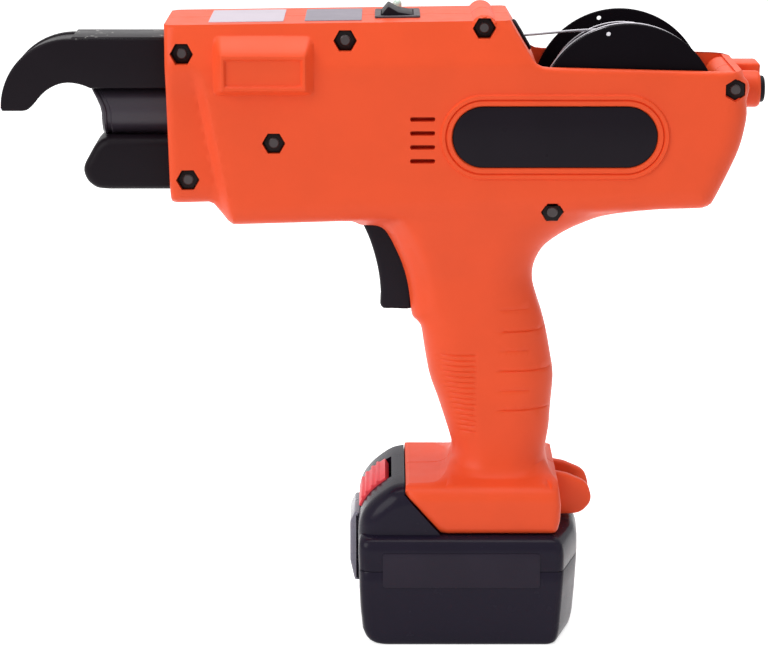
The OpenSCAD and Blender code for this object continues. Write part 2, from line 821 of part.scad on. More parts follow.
module roof_cuts() {
  on_roof(bezel_x, 0) box([-bezel_len / 2 + bezel_rim / 2, bezel_len / 2 - bezel_rim / 2],
    [-bezel_half_w + bezel_rim / 2, over], [-bezel_sink * 2, over]);
  on_wire(inlet_x) translate([0, 0, -bush_shank * 2])
    cylinder(r = bush_r - bush_t / 2 + slip, h = bush_shank * 4);
}
module wire_room() {
  on_wire(tube_front_x) cylinder(r = tube_r + slip, h = (tube_rear_x - tube_front_x) / cos(wire_tilt));
}
module drive_ribs() {
  y = [-head_half_w + bay_wall / 2, 0];
  z = [twist_z - rib_drop, rib_top_z];
  for (x = [motor_front_x + motor_len / 4, motor_front_x + motor_len * 3 / 4]) difference() {
    box([x, x + rib_t], y, z);
    bar_x(x - over, x + rib_t + over, twist_z, motor_r + slip);
  }
  x = frame_rear_x + gearbox_len / 2;
  difference() {
    box([x, x + rib_t], y, z);
    bar_x(x - over, x + rib_t + over, twist_z, gearbox_r + slip);
  }
}
module board_posts() {
  for (x = [board_front_x + board_len / 8, board_front_x + board_len * 7 / 8])
    translate([x, -board_half_w * 3 / 4, belly_z(x)]) cylinder(r = post_r, h = board_z - belly_z(x));
}
module plate_border() {
  translate([plate_x, 0, plate_z]) along_y(-head_half_w - border_rise, -head_half_w + wall / 2)
    difference() {
      stadium(plate_len, plate_h, border_w);
      stadium(plate_len, plate_h, border_w / 2);
    }
}
module plate_recess() {
  translate([plate_x, 0, plate_z]) along_y(-head_half_w - over, -head_half_w + plate_sink)
    stadium(plate_len, plate_h, slip);
}
module ear() {
  along_y(-ear_gap / 2 - ear_t, -ear_gap / 2) polygon([
    for (p = ear_profile_shares)
      [foot_rear_x + p[0] * ear_reach, foot_top_z - over - p[1] * (foot_h - over)]
  ]);
}
strap_bar_x = foot_rear_x + strap_bar_share * ear_reach;
strap_bar_z = foot_z + foot_h / 2;
module rear_barrel() {
  bar_x(tail_x - wall, tail_x + rear_barrel_len, rear_barrel_z, rear_barrel_r);
}
module rear_bore() {
  start = tail_x + rear_barrel_len + rear_button_show - rear_button_len - rear_barrel_len / 5;
  bar_x(start, tail_x + rear_barrel_len + over, rear_barrel_z, rear_button_r + slip);
}
module bolt_pads() {
  for (b = bolt_place_shares)
    bar_y(bolt_x(b), bolt_z(b), b[4] * boss_r, -bolt_pad(b), -bolt_boss(b));
}
module bolt_bores() {
  for (b = bolt_place_shares)
    bar_y(bolt_x(b), bolt_z(b), bolt_r + bolt_clear, -bolt_pad(b) - over, over);
}
module housing_half() {
  intersection() {
    difference() {
      union() {
        difference() {
          housing_mass();
          housing_hollow();
          above_rim();
        }
        drive_ribs();
        board_posts();
        plate_border();
        ear();
        rear_barrel();
        bolt_pads();
        bar_y(spool_x, spool_z, axle_boss_r, -head_half_w + bay_wall / 2, -spool_half_w - seat - slip);
        bar_y(trigger_pin_x, trigger_pin_z, trigger_boss_r, -grip_hollow_half_w - over, -trigger_slot_half_w);
        children();
      }
      plate_recess();
      foot_hollow();
      jaw_opening();
      trigger_slot();
      roof_cuts();
      wire_room();
      bolt_bores();
      rear_bore();
      bar_y(spool_x, spool_z, axle_r + fit, -axle_half_len - press, over);
      bar_y(trigger_pin_x, trigger_pin_z, trigger_pin_r + fit, -trigger_pin_half_len - press, over);
      bar_y(strap_bar_x, strap_bar_z, strap_bar_r + press, -ear_gap / 2 - ear_t - over, over);
    }
    box([-2 * head_len, 2 * head_len], [-2 * head_half_w, 0], [0, 2 * head_top_z]);
  }
}

// Piece by piece
module side_bulge() {
  taper = [1 - 2 * bulge_bevel / bulge_len, 1 - 2 * bulge_bevel / bulge_h];
  translate([bulge_x, -head_half_w + wall / 2, bulge_z]) rotate([90, 0, 0])
    linear_extrude(bulge_rise + wall / 2, scale = taper, slices = 1, $fn = 4)
      square([bulge_len, bulge_h], center = true);
}
module vent_slots() {
  for (i = [0:vent_count - 1]) {
    z = vent_top_z - i * vent_pitch;
    box([vent_x - vent_len / 2, vent_x + vent_len / 2], [-head_half_w - over, -head_half_w + 2 * wall],
      [z - vent_h / 2, z + vent_h / 2]);
  }
}
module nut_pockets() {
  for (i = [0:len(bolt_place_shares) - 1]) {
    b = bolt_place_shares[i];
    translate([bolt_x(b), -bolt_pad(b) + nut_sink + nut_h, bolt_z(b)])
      rotate([90, nut_turn_shares[i] * 30, 0]) cylinder(r = nut_r + slip, h = nut_h + 2 * nut_sink, $fn = 6);
  }
}
module head_pockets() {
  for (b = bolt_place_shares)
    bar_y(bolt_x(b), bolt_z(b), bolt_head_r + slip, -bolt_pad(b) - over,
      -bolt_pad(b) + bolt_head_h + nut_sink);
}
module rear_lug() {
  difference() {
    box([tail_x - wall, tail_x + lug_len], [-lug_y - lug_w, -lug_y], [lug_z, lug_z + lug_h]);
    bar_y(tail_x + lug_len / 2, lug_z + lug_h / 2, lug_hole_r, -lug_y - lug_w - over, -lug_y + over);
  }
}
module housing_left() color(orange) {
  difference() {
    housing_half() side_bulge();
    nut_pockets();
    vent_slots();
  }
}
module housing_right() color(orange) {
  mirror([0, 1, 0]) difference() {
    housing_half() rear_lug();
    head_pockets();
    vent_slots();
    on_roof(bezel_x, -lens_y) translate([0, 0, -wall * 2]) cylinder(r = lens_r + press, h = wall * 4);
  }
}
module housing_bolts() color(steel) {
  for (b = bolt_place_shares) {
    head_y = bolt_pad(b) - nut_sink;
    bar_y(bolt_x(b), bolt_z(b), bolt_head_r, head_y - bolt_head_h, head_y);
    bar_y(bolt_x(b), bolt_z(b), bolt_r, -bolt_pad(b) + nut_sink - bolt_end, head_y - bolt_head_h);
  }
}
module housing_nuts() color(dark) {
  for (i = [0:len(bolt_place_shares) - 1]) {
    b = bolt_place_shares[i];
    translate([bolt_x(b), -bolt_pad(b) + nut_sink + nut_h, bolt_z(b)])
      rotate([90, nut_turn_shares[i] * 30, 0]) difference() {
        cylinder(r = nut_r, h = nut_h, $fn = 6);
        translate([0, 0, -over]) cylinder(r = bolt_r + fit, h = nut_h + 2 * over);
      }
  }
}
module side_plates() color(black) {
  both_sides() translate([plate_x, 0, plate_z])
    along_y(-head_half_w + plate_sink - plate_t, -head_half_w + plate_sink) stadium(plate_len, plate_h, 0);
}
module label(x, length, half_w) {
  on_roof(x, 0) box([-length / 2, length / 2], [-half_w, half_w], [0, label_t]);
}
module top_labels() color(pale) {
  label(label_front_x, label_front_len, label_front_half_w);
  label(label_rear_x, label_rear_len, label_rear_half_w);
}
module rocker_bezel() color(black) {
  inner_x = bezel_len / 2 - bezel_rim;
  inner_y = bezel_half_w - bezel_rim;
  on_roof(bezel_x, 0) difference() {
    union() {
      box([-bezel_len / 2, bezel_len / 2], [-bezel_half_w, bezel_half_w], [0, bezel_rise]);
      box([-inner_x - bezel_rim / 2 + slip, inner_x + bezel_rim / 2 - slip],
        [-inner_y - bezel_rim / 2 + slip, inner_y + bezel_rim / 2 - slip], [-bezel_sink, bezel_rise / 2]);
    }
    box([-inner_x, inner_x], [-inner_y, inner_y], [-bezel_sink + rocker_gap * 2, bezel_rise + over]);
    bar_y(0, 0, rocker_pin_r + fit, -inner_y - bezel_rim / 4, inner_y + bezel_rim / 4);
  }
}
module power_rocker() color(black) {
  half_len = bezel_len / 2 - bezel_rim - rocker_gap;
  half_w = bezel_half_w - bezel_rim - rocker_gap;
  on_roof(bezel_x, 0) {
    along_y(-half_w, half_w) polygon([
      [-half_len, bezel_rise + rocker_lift], [0, bezel_rise + rocker_lift / 4],
      [half_len, bezel_rise / 2], [half_len - rocker_gap * 2, -rocker_h / 3],
      [0, -rocker_h / 2], [-half_len + rocker_gap * 3, -rocker_h / 3]
    ]);
    bar_y(0, 0, rocker_pin_r, -half_w - rocker_gap - bezel_rim / 8, half_w + rocker_gap + bezel_rim / 8);
  }
}
module indicator_lens() color(lens_green) {
  on_roof(bezel_x, lens_y) {
    translate([0, 0, -wall]) cylinder(r = lens_r, h = wall);
    intersection() {
      sphere(r = lens_r);
      cylinder(r = lens_r, h = lens_r);
    }
  }
}
module trigger() color(black) {
  difference() {
    union() {
      along_y(-trigger_half_w, trigger_half_w) polygon([
        for (p = trigger_profile_shares)
          [trigger_pin_x + p[0] * trigger_nose, trigger_pin_z + p[1] * trigger_drop]
      ]);
      bar_y(trigger_pin_x, trigger_pin_z, trigger_hub_r, -trigger_half_w, trigger_half_w);
    }
    bar_y(trigger_pin_x, trigger_pin_z, trigger_pin_r + fit, -trigger_half_w - over, trigger_half_w + over);
  }
}
module trigger_pin() color(steel) {
  bar_y(trigger_pin_x, trigger_pin_z, trigger_pin_r, -trigger_pin_half_len, trigger_pin_half_len);
}
module trigger_spring() color(bright_steel) {
  pitch = (trigger_spring_len - 4 * spring_wire_r) / trigger_spring_turns;
  translate([spring_seat_x, 0, trigger_pin_z - spring_drop]) rotate([0, 90, 0])
    coil(trigger_spring_r, pitch, trigger_spring_turns, spring_rings, spring_wire_r);
}
module trigger_switch() color(dark) {
  box([trigger_pin_x + switch_gap, trigger_pin_x + switch_gap + switch_len],
    [-grip_hollow_half_w + slip, grip_hollow_half_w - slip],
    [trigger_pin_z - switch_drop - switch_h, trigger_pin_z - switch_drop]);
}
module control_board() color(green) {
  x = [board_front_x, board_front_x + board_len];
  box(x, [-board_half_w, board_half_w], [board_z, board_z + board_t]);
  box([x[0] + board_len / 8, x[0] + board_len / 3], [-board_half_w / 2, board_half_w / 3],
    [board_z + board_t, board_z + board_t + board_chip_h]);
  box([x[0] + board_len / 2, x[1] - board_len / 8], [-board_half_w / 3, board_half_w / 2],
    [board_z + board_t, board_z + board_t + board_chip_h]);
}
module terminal_block() color(dark) {
  x = [block_front_x + slip, slide_rear_x - slip];
  difference() {
    box(x, [-tongue_half_w + slip, tongue_half_w - slip],
      [slide_top_z + slip, slide_top_z + block_room_h - slip]);
    for (i = [0:blade_count - 1]) blade_slot(i, x[0] - over, blade_x + blade_len + run);
  }
}

// Spool and wire
module spool_flanges() color(black) {
  both_sides() difference() {
    bar_y(spool_x, spool_z, flange_r, -spool_half_w, -spool_half_w + flange_t);
    bar_y(spool_x, spool_z, axle_r + fit, -spool_half_w - over, over);
    bar_y(spool_x + (flange_r - rim_hole_inset) * cos(rim_hole_angle),
      spool_z + (flange_r - rim_hole_inset) * sin(rim_hole_angle), rim_hole_r, -spool_half_w - over, over);
  }
}
module spool_hub() color(black) {
  half = spool_half_w - flange_t;
  difference() {
    bar_y(spool_x, spool_z, hub_r, -half, half);
    bar_y(spool_x, spool_z, axle_r + fit, -half - over, half + over);
  }
}
module wire_core() color(steel) {
  half = spool_half_w - flange_t;
  difference() {
    bar_y(spool_x, spool_z, winding_r - turn_r - seat, -half, half);
    bar_y(spool_x, spool_z, hub_r, -half - over, half + over);
  }
}
module wire_winding() color(bright_steel) {
  translate([spool_x, turn_pitch * turn_count / 2, spool_z]) rotate([90, 0, 0])
    coil(winding_r, turn_pitch, turn_count, loop_rings, turn_r);
}
winding_points = coil_path(winding_r, turn_pitch, turn_count, loop_rings, turn_r);
winding_gap = min([
  for (i = [0:loop_rings], j = [i + loop_rings / 2:min(i + 2 * loop_rings, len(winding_points) - 1)])
    norm(winding_points[i] - winding_points[j])
]) - 2 * turn_r;
echo(least_gap_between_turns = winding_gap);
module spool_axle() color(steel) {
  bar_y(spool_x, spool_z, axle_r, -axle_half_len, axle_half_len);
}
module tie_wire() color(bright_steel) {
  tube([
    [wire_end_x, 0, wire_z(wire_end_x)], [inlet_x, 0, inlet_z], [spool_x, 0, strand_top_z]
  ], [0, 1, 0], wire_r);
}
module inlet_bush() color(dark) {
  difference() {
    on_wire(inlet_x - bush_shank) cylinder(r = bush_r - bush_t / 2, h = bush_shank + bush_t);
    on_wire(inlet_x - 2 * bush_shank) cylinder(r = tube_bore_r, h = 4 * bush_shank);
  }
}
module guide_tube() color(steel) {
  length = (tube_rear_x - tube_front_x) / cos(wire_tilt);
  on_wire(tube_front_x) difference() {
    cylinder(r = tube_r, h = length);
    translate([0, 0, -over]) cylinder(r = tube_bore_r, h = length + 2 * over);
  }
}

// Feed drive
module feed_plate_outline() {
  difference() {
    polygon([
      [frame_front_x + over / 2, frame_top_z], [frame_rear_x - over, frame_top_z],
      [frame_rear_x - over, feed_idler_z + feed_plate_rise],
      [feed_x - feed_plate_lap, feed_idler_z + feed_plate_rise],
      [feed_x - feed_plate_lap, feed_drive_z - feed_plate_rise / 2],
      [frame_front_x + over / 2, feed_drive_z - feed_plate_rise / 2]
    ]);
    translate([feed_x, feed_drive_z]) circle(feed_shaft_r + fit);
    translate([feed_x, feed_idler_z]) circle(feed_shaft_r + press);
    translate([feed_motor_x, feed_motor_z]) circle(feed_motor_shaft_r + run);
  }
}
module feed_plates() color(steel) {
  along_y(-feed_plate_y - feed_plate_t, -feed_plate_y) feed_plate_outline();
  along_y(feed_motor_plate_y, feed_motor_plate_y + feed_motor_plate_t) feed_plate_outline();
}
feed_shaft_y = [-feed_plate_y - feed_plate_t, feed_motor_plate_y + feed_motor_plate_t];
module feed_drive_shaft() color(steel) {
  bar_y(feed_x, feed_drive_z, feed_shaft_r, feed_shaft_y[0], feed_shaft_y[1] - fit);
  translate([feed_x, 0, feed_drive_z]) along_y(-feed_gear_y - feed_gear_w, -feed_gear_y)
    rotate(feed_mesh_angle) gear_outline(feed_gear_teeth);
}
module feed_wheel(z, turn) {
  difference() {
    translate([feed_x, 0, z]) along_y(-feed_wheel_half_w, feed_wheel_half_w)
      rotate(turn) gear_outline(feed_wheel_teeth);
    translate([feed_x, 0, z]) rotate([90, 0, 0]) rotate_extrude()
      translate([feed_wheel_r - wire_r - fit, -wire_r - fit]) square([feed_wheel_r, 2 * wire_r + 2 * fit]);
    children();
  }
}
module feed_drive_wheel() color(bright_steel) {
  feed_wheel(feed_drive_z, 90)
    bar_y(feed_x, feed_drive_z, feed_shaft_r, -feed_wheel_half_w - over, feed_wheel_half_w + over);
}
module feed_idler_wheel() color(bright_steel) {
  feed_wheel(feed_idler_z, -90 + 180 / feed_wheel_teeth)
    bar_y(feed_x, feed_idler_z, feed_shaft_r + fit, -feed_wheel_half_w - over, feed_wheel_half_w + over);
}
module feed_idler_pin() color(steel) {
  bar_y(feed_x, feed_idler_z, feed_shaft_r, feed_shaft_y[0], feed_shaft_y[1] - fit);
}
module feed_motor() color(steel) {
  difference() {
    bar_y(feed_motor_x, feed_motor_z, feed_motor_r, feed_shaft_y[1], feed_shaft_y[1] + feed_motor_len);
    bar_y(feed_motor_x, feed_motor_z, feed_motor_shaft_r + fit, 0, feed_shaft_y[1] + feed_motor_len / 2);
  }
}
module feed_pinion() color(brass) {
  bar_y(feed_motor_x, feed_motor_z, feed_motor_shaft_r, -feed_gear_y - feed_gear_w,
    feed_shaft_y[1] + feed_motor_len / 4);
  translate([feed_motor_x, 0, feed_motor_z]) along_y(-feed_gear_y - feed_gear_w, -feed_gear_y)
    rotate(180 + feed_mesh_angle + 180 / feed_pinion_teeth) gear_outline(feed_pinion_teeth);
}

// Twisting drive
module on_axis(x) {
  translate([x, 0, twist_z]) rotate([0, 90, 0]) children();
}
module twist_motor() color(steel) {
  end_x = motor_front_x + motor_len;
  difference() {
    union() {
      bar_x(motor_front_x, end_x, twist_z, motor_r);
      bar_x(motor_front_x - motor_boss_h, motor_front_x, twist_z, motor_boss_r);
      bar_x(end_x, end_x + motor_tail_h, twist_z, motor_tail_r);
    }
    bar_x(motor_front_x - motor_boss_h - over, motor_front_x + 2 * motor_shaft_sink, twist_z,
      motor_shaft_r + fit);
  }
}
module sun_pinion() color(brass) {
  bar_x(planet_x, motor_front_x + motor_shaft_sink, twist_z, motor_shaft_r);
  on_axis(planet_x) linear_extrude(planet_w) gear_outline(sun_teeth);
}
module gearbox_case() color(dark) {
  difference() {
    bar_x(frame_rear_x, motor_front_x, twist_z, gearbox_r);
    bar_x(frame_rear_x - over, frame_rear_x + gearbox_front_t + over, twist_z, spindle_r + run);
    bar_x(frame_rear_x + gearbox_front_t, planet_x - run, twist_z, ring_r + tooth_root + seat);
    on_axis(planet_x - run - over) linear_extrude(planet_w + 2 * run + over) ring_cut();
    bar_x(planet_x + planet_w, motor_front_x - motor_boss_h, twist_z, orbit_r);
    bar_x(planet_x + planet_w, motor_front_x + over, twist_z, motor_boss_r + fit);
  }
}
module planet_gear(index) {
  place = index * 360 / planet_count;
  turn = place + 180 - 180 / planet_teeth + place * sun_teeth / planet_teeth;
  on_axis(planet_x) rotate(place) translate([orbit_r, 0, 0]) rotate(turn - place) difference() {
    linear_extrude(planet_w) gear_outline(planet_teeth);
    translate([0, 0, -over]) cylinder(r = planet_pin_r + fit, h = planet_w + 2 * over);
  }
}
module planet_gear_1() color(bright_steel) planet_gear(0);
module planet_gear_2() color(bright_steel) planet_gear(1);
module planet_gear_3() color(bright_steel) planet_gear(2);
module twist_spindle() color(steel) {
  holder_rear_x = spindle_front_x + holder_len;
  difference() {
    union() {
      bar_x(spindle_front_x, holder_rear_x, twist_z, holder_r);
      bar_x(holder_rear_x, spindle_step_x, twist_z, spindle_nose_r);
      bar_x(spindle_step_x, carrier_x, twist_z, spindle_r);
      bar_x(carrier_x, carrier_x + carrier_t, twist_z, carrier_r);
      for (i = [0:planet_count - 1]) on_axis(carrier_x + carrier_t) rotate(i * 360 / planet_count)
        translate([orbit_r, 0, 0]) cylinder(r = planet_pin_r, h = planet_w + run);
    }
    box([spindle_front_x - over, holder_rear_x - hook_half_h], [-hook_half_w - slip, hook_half_w + slip],
      [twist_z - holder_r - over, twist_z + holder_r + over]);
    for (side = [-1, 1])
      bar_y(hook_pivot_x, twist_z + side * hook_pivot_rise, hook_pin_r + press,
        -holder_r - over, holder_r + over);
  }
}
module spindle_bearing() color(bright_steel) {
  difference() {
    bar_x(frame_front_x, frame_front_x + bearing_w, twist_z, bearing_r - press);
    bar_x(frame_front_x - over, frame_front_x + bearing_w + over, twist_z, spindle_r + fit);
  }
}
module twist_frame() color(steel) {
  through = bolt_place_shares[3];
  difference() {
    box([frame_front_x, frame_rear_x], [-frame_half_w, frame_half_w], [frame_top_z - frame_h, frame_top_z]);
    bar_x(frame_front_x - over, frame_front_x + bearing_w, twist_z, bearing_r);
    bar_x(frame_front_x, frame_rear_x + over, twist_z, spindle_r + seat);
    bar_y(bolt_x(through), bolt_z(through), bolt_r + bolt_clear, -frame_half_w - over, frame_half_w + over);
  }
}
module nose_barrel() color(black) {
  difference() {
    bar_x(barrel_front_x, root_rear_x, twist_z, barrel_r);
    bar_x(barrel_front_x - over, root_rear_x + over, twist_z, barrel_bore_r);
  }
}
module spindle_bush() color(brass) {
  difference() {
    bar_x(root_rear_x - bush_len, root_rear_x, twist_z, barrel_bore_r - press);
    bar_x(root_rear_x - bush_len - over, root_rear_x + over, twist_z, spindle_nose_r + fit);
  }
}
module twist_sleeve() color(bright_steel) {
  outer = barrel_bore_r - seat;
  end_x = sleeve_front_x + sleeve_len;
  difference() {
    bar_x(sleeve_front_x, end_x, twist_z, outer);
    bar_x(sleeve_front_x - over, end_x - sleeve_web, twist_z, outer - sleeve_wall);
    bar_x(sleeve_front_x, end_x + over, twist_z, spindle_nose_r + fit);
  }
}
module twist_hook() {
  translate([hook_pivot_x, 0, twist_z + hook_pivot_rise]) rotate([0, hook_splay, 0]) difference() {
    union() {
      along_y(-hook_half_w, hook_half_w) polygon([
        [0, -hook_half_h], [0, hook_half_h], [-hook_len, hook_half_h],
        [-hook_len, -hook_half_h - hook_claw], [-hook_len + hook_claw, -hook_half_h]
      ]);
      bar_y(0, 0, hook_half_h, -hook_half_w, hook_half_w);
    }
    bar_y(0, 0, hook_pin_r + fit, -hook_half_w - over, hook_half_w + over);
  }
}
module hook_upper() color(bright_steel) twist_hook();
module hook_lower() color(bright_steel) {
  translate([0, 0, 2 * twist_z]) mirror([0, 0, 1]) twist_hook();
}
module hook_pins() color(steel) {
  for (side = [-1, 1])
    bar_y(hook_pivot_x, twist_z + side * hook_pivot_rise, hook_pin_r, -hook_pivot_rise, hook_pivot_rise);
}

// Jaw
module jaw_outline(grow) {
  difference() {
    union() {
      intersection() {
        translate([hook_center_x, hook_center_z]) circle(hook_outer_r - grow);
        translate([hook_tip_x, hook_tip_z]) square([hook_outer_r, hook_outer_r]);
      }
      translate([hook_center_x - over, arm_bottom_z])
        square([root_rear_x - hook_center_x + over, jaw_top_z - grow - arm_bottom_z]);
      translate([head_front_x + wall + slip, twist_z])
        square([root_rear_x - head_front_x - wall - slip, root_top_z - twist_z]);
    }
    translate([throat_x, throat_z]) circle(throat_r + grow);
  }
}
module jaw_cuts() {
  bar_x(barrel_front_x - over, root_rear_x + over, twist_z, barrel_r + press);
  b = bolt_place_shares[0];
  bar_y(bolt_x(b), bolt_z(b), bolt_r + bolt_clear, -jaw_half_w - over, jaw_half_w + over);
}
module curl_plates() color(black) {
  both_sides() difference() {
    along_y(-jaw_half_w, -jaw_half_w + jaw_plate_t) jaw_outline(0);
    jaw_cuts();
  }
}
module curl_core() color(dark) {
  half = jaw_half_w - jaw_plate_t;
  difference() {
    along_y(-half, half) jaw_outline(over / 2);
    jaw_cuts();
    on_wire(wire_end_x - over) cylinder(r = wire_groove_r, h = 3 * nose_len);
  }
}
module lower_jaw() color(black) {
  b = bolt_place_shares[1];
  height = lower_top_z - lower_bottom_z;
  difference() {
    along_y(-lower_jaw_half_w, lower_jaw_half_w) polygon([
      for (p = lower_profile_shares) [
        p[0] < 1 ? lower_nose_x + p[0] * lower_nose_len : root_rear_x,
        lower_bottom_z + p[1] * height
      ]
    ]);
    bar_x(lower_nose_x - over, root_rear_x + over, twist_z, barrel_r + press);
    bar_y(bolt_x(b), bolt_z(b), bolt_r + bolt_clear, -lower_jaw_half_w - over, lower_jaw_half_w + over);
  }
}

// Rear button and strap bar
module rear_button() color(black) {
  end_x = tail_x + rear_barrel_len + rear_button_show;
  bar_x(end_x - rear_button_len, end_x, rear_barrel_z, rear_button_r);
}
module strap_bar() color(steel) {
  bar_y(strap_bar_x, strap_bar_z, strap_bar_r, -ear_gap / 2 - ear_t, ear_gap / 2 + ear_t);
}

// Battery
module battery_slice(z, front, rear, side) {
  x0 = battery_front_x + front;
  x1 = battery_rear_x - rear;
  y = battery_half_w - side;
  translate([0, 0, z]) linear_extrude(slice_t) polygon([
    [x0, -y + battery_corner], [x0 + battery_corner, -y], [x1, -y],
    [x1 + battery_bow, -y + battery_rear_corner], [x1 + battery_bow, y - battery_rear_corner],
    [x1, y], [x0 + battery_corner, y], [x0, y - battery_corner]
  ]);
}
module battery_body(shares, z, height) {
  hull() for (s = shares)
    battery_slice(z + s[0] * (height - slice_t), s[1] * height, s[2] * height, s[3] * height);
}
module dome_outline() {
  top_z = foot_top_z - seat;
  polygon([
    [battery_front_x, battery_split_z + battery_wall], [battery_front_x, dome_slope_z],
    [battery_front_x + dome_slope_run, dome_slope_z + dome_slope_rise],
    [battery_front_x + dome_len, top_z], [battery_front_x + dome_len, battery_split_z + battery_wall]
  ]);
}
module on_dome(depth) {
  translate([battery_front_x + dome_slope_run / 2, 0, dome_slope_z + dome_slope_rise / 2])
    rotate([0, -dome_angle, 0]) translate([0, 0, depth]) children();
}
module battery_case_upper() color(dark) {
  height = battery_top_z - battery_split_z;
  difference() {
    union() {
      difference() {
        union() {
          battery_body(battery_upper_shares, battery_split_z, height);
          both_sides() rounded_side(dome_half_w, dome_edge_r) dome_outline();
        }
        box([battery_front_x + battery_wall, battery_rear_x - battery_wall],
          [-battery_half_w + battery_wall, battery_half_w - battery_wall],
          [battery_split_z - over, battery_top_z - battery_wall]);
      }
      along_y(-foot_half_w + foot_edge_r, foot_half_w - foot_edge_r) polygon([
        [foot_front_x - 2 * run, battery_top_z - battery_wall],
        [foot_front_x - 2 * run, foot_top_z - foot_nose_h - 2 * run],
        [foot_front_x + foot_chamfer - 2 * run, battery_top_z],
        [foot_front_x + foot_chamfer - 2 * run, battery_top_z - battery_wall]
      ]);
      box([foot_front_x - run, slide_rear_x - run], [-tongue_neck_half_w, tongue_neck_half_w],
        [battery_top_z - battery_wall, foot_z + tongue_h]);
      box([foot_front_x - run, slide_rear_x - run], [-tongue_half_w, tongue_half_w],
        [foot_z + tongue_lip_h, foot_z + tongue_h]);
      box([battery_front_x - tab_t, battery_front_x + battery_wall], [-tab_half_w, tab_half_w],
        [battery_split_z, tab_z + tab_h]);
      for (x = [screw_front_x, screw_rear_x], side = [-1, 1])
        translate([x, side * screw_y, battery_split_z]) cylinder(r = screw_post_r, h = height - battery_wall);
    }
    on_dome(0) box([-release_len / 2 - seat, release_len / 2 + seat],
      [-release_w / 2 - seat, release_w / 2 + seat], [-release_depth, over * 4]);
    for (x = [screw_front_x, screw_rear_x], side = [-1, 1])
      translate([x, side * screw_y, battery_split_z - over]) cylinder(r = screw_r + press, h = height);
  }
}
module battery_case_lower() color(dark) {
  difference() {
    union() {
      difference() {
        battery_body(battery_lower_shares, 0, battery_split_z);
        box([battery_front_x + 2 * battery_wall + battery_split_z / 4,
            battery_rear_x - battery_wall - battery_split_z / 8],
          [-battery_half_w + battery_wall + over, battery_half_w - battery_wall - over],
          [battery_wall, battery_split_z + over]);
      }
      for (x = [screw_front_x, screw_rear_x], side = [-1, 1])
        translate([x, side * screw_y, battery_wall / 2])
          cylinder(r = screw_post_r, h = battery_split_z - battery_wall / 2);
      box([battery_front_x - tab_t, battery_front_x + battery_wall], [-tab_half_w, tab_half_w],
        [tab_z, battery_split_z]);
    }
    for (x = [screw_front_x, screw_rear_x], side = [-1, 1]) translate([x, side * screw_y, -over]) {
      cylinder(r = screw_r + slip, h = battery_split_z + 2 * over);
      cylinder(r = screw_head_r + slip, h = over + screw_sink + screw_head_h);
    }
  }
}
module cell_places() {
  for (c = [0:cell_columns - 1], r = [0:cell_rows - 1])
    translate([cell_x + c * cell_pitch, 0, cell_low_z + r * (cell_pitch + slip)]) children();
}
module battery_cells() color(cell_blue) {
  cell_places() bar_y(0, 0, cell_r, -cell_len / 2, cell_len / 2);
}
module battery_cell_holder() color(black) {
  top = cell_low_z + (cell_rows - 1) * (cell_pitch + slip) + cell_r + holder_edge;
  both_sides() difference() {
    box([cell_x - cell_r - holder_edge, cell_x + (cell_columns - 1) * cell_pitch + cell_r + holder_edge],
      [-holder_y - holder_t, -holder_y], [battery_wall + fit, top]);
    cell_places() bar_y(0, 0, cell_r + fit, -holder_y - holder_t - over, over);
  }
}
module battery_board() color(green) {
  box([board_x, board_x + battery_board_t], [-battery_board_half_w, battery_board_half_w],
    [battery_board_z, battery_board_z + battery_board_h]);
}
module battery_terminals() color(brass) {
  for (i = [0:blade_count - 1]) {
    y = (i - (blade_count - 1) / 2) * blade_pitch;
    box([blade_x, blade_x + blade_len], [y - blade_t / 2, y + blade_t / 2],
      [foot_z + tongue_h, slide_top_z + blade_h - run]);
  }
}
module battery_labels() color(grey) {
  both_sides() box([label_x - battery_label_len / 2, label_x + battery_label_len / 2],
    [-battery_half_w - battery_label_t, -battery_half_w],
    [label_z - battery_label_h / 2, label_z + battery_label_h / 2]);
}
module battery_screws() color(steel) {
  for (x = [screw_front_x, screw_rear_x], side = [-1, 1]) translate([x, side * screw_y, screw_sink]) {
    cylinder(r = screw_head_r, h = screw_head_h);
    cylinder(r = screw_r, h = screw_len);
  }
}
module battery_button() color(red) {
  on_dome(release_proud - release_t) {
    box([-release_len / 2, release_len / 2], [-release_w / 2, release_w / 2], [0, release_t]);
    for (i = [1:release_rib_count]) {
      x = -release_len / 2 + i * release_len / (release_rib_count + 1);
      bar_y(x, release_t, release_rib_r, -release_w / 2, release_w / 2);
    }
  }
}
module battery_button_spring() color(bright_steel) {
  pitch = (release_spring_len - 4 * spring_wire_r) / release_spring_turns;
  on_dome(-release_depth + 2 * spring_wire_r)
    coil(release_spring_r, pitch, release_spring_turns, spring_rings, spring_wire_r);
}

housing_left();
housing_right();
housing_bolts();
housing_nuts();
side_plates();
top_labels();
rocker_bezel();
power_rocker();
indicator_lens();
trigger();
trigger_pin();
trigger_spring();
trigger_switch();
control_board();
terminal_block();
spool_flanges();
spool_hub();
wire_core();
wire_winding();
spool_axle();
tie_wire();
inlet_bush();
guide_tube();
feed_plates();
feed_drive_shaft();
feed_drive_wheel();
feed_idler_wheel();
feed_idler_pin();
feed_motor();
feed_pinion();
twist_motor();
sun_pinion();
gearbox_case();
planet_gear_1();
planet_gear_2();
planet_gear_3();
twist_spindle();
spindle_bearing();
twist_frame();
nose_barrel();
spindle_bush();
twist_sleeve();
hook_upper();
hook_lower();
hook_pins();
curl_plates();
curl_core();
lower_jaw();
rear_button();
strap_bar();
battery_case_upper();
battery_case_lower();
battery_cells();
battery_cell_holder();
battery_board();
battery_terminals();
battery_labels();
battery_screws();
battery_button();
battery_button_spring();
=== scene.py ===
"""Looks of a cordless rebar tying tool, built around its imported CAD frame."""

from __future__ import annotations

import json
import logging
import math
from dataclasses import dataclass, field
from enum import Enum
from typing import Sequence

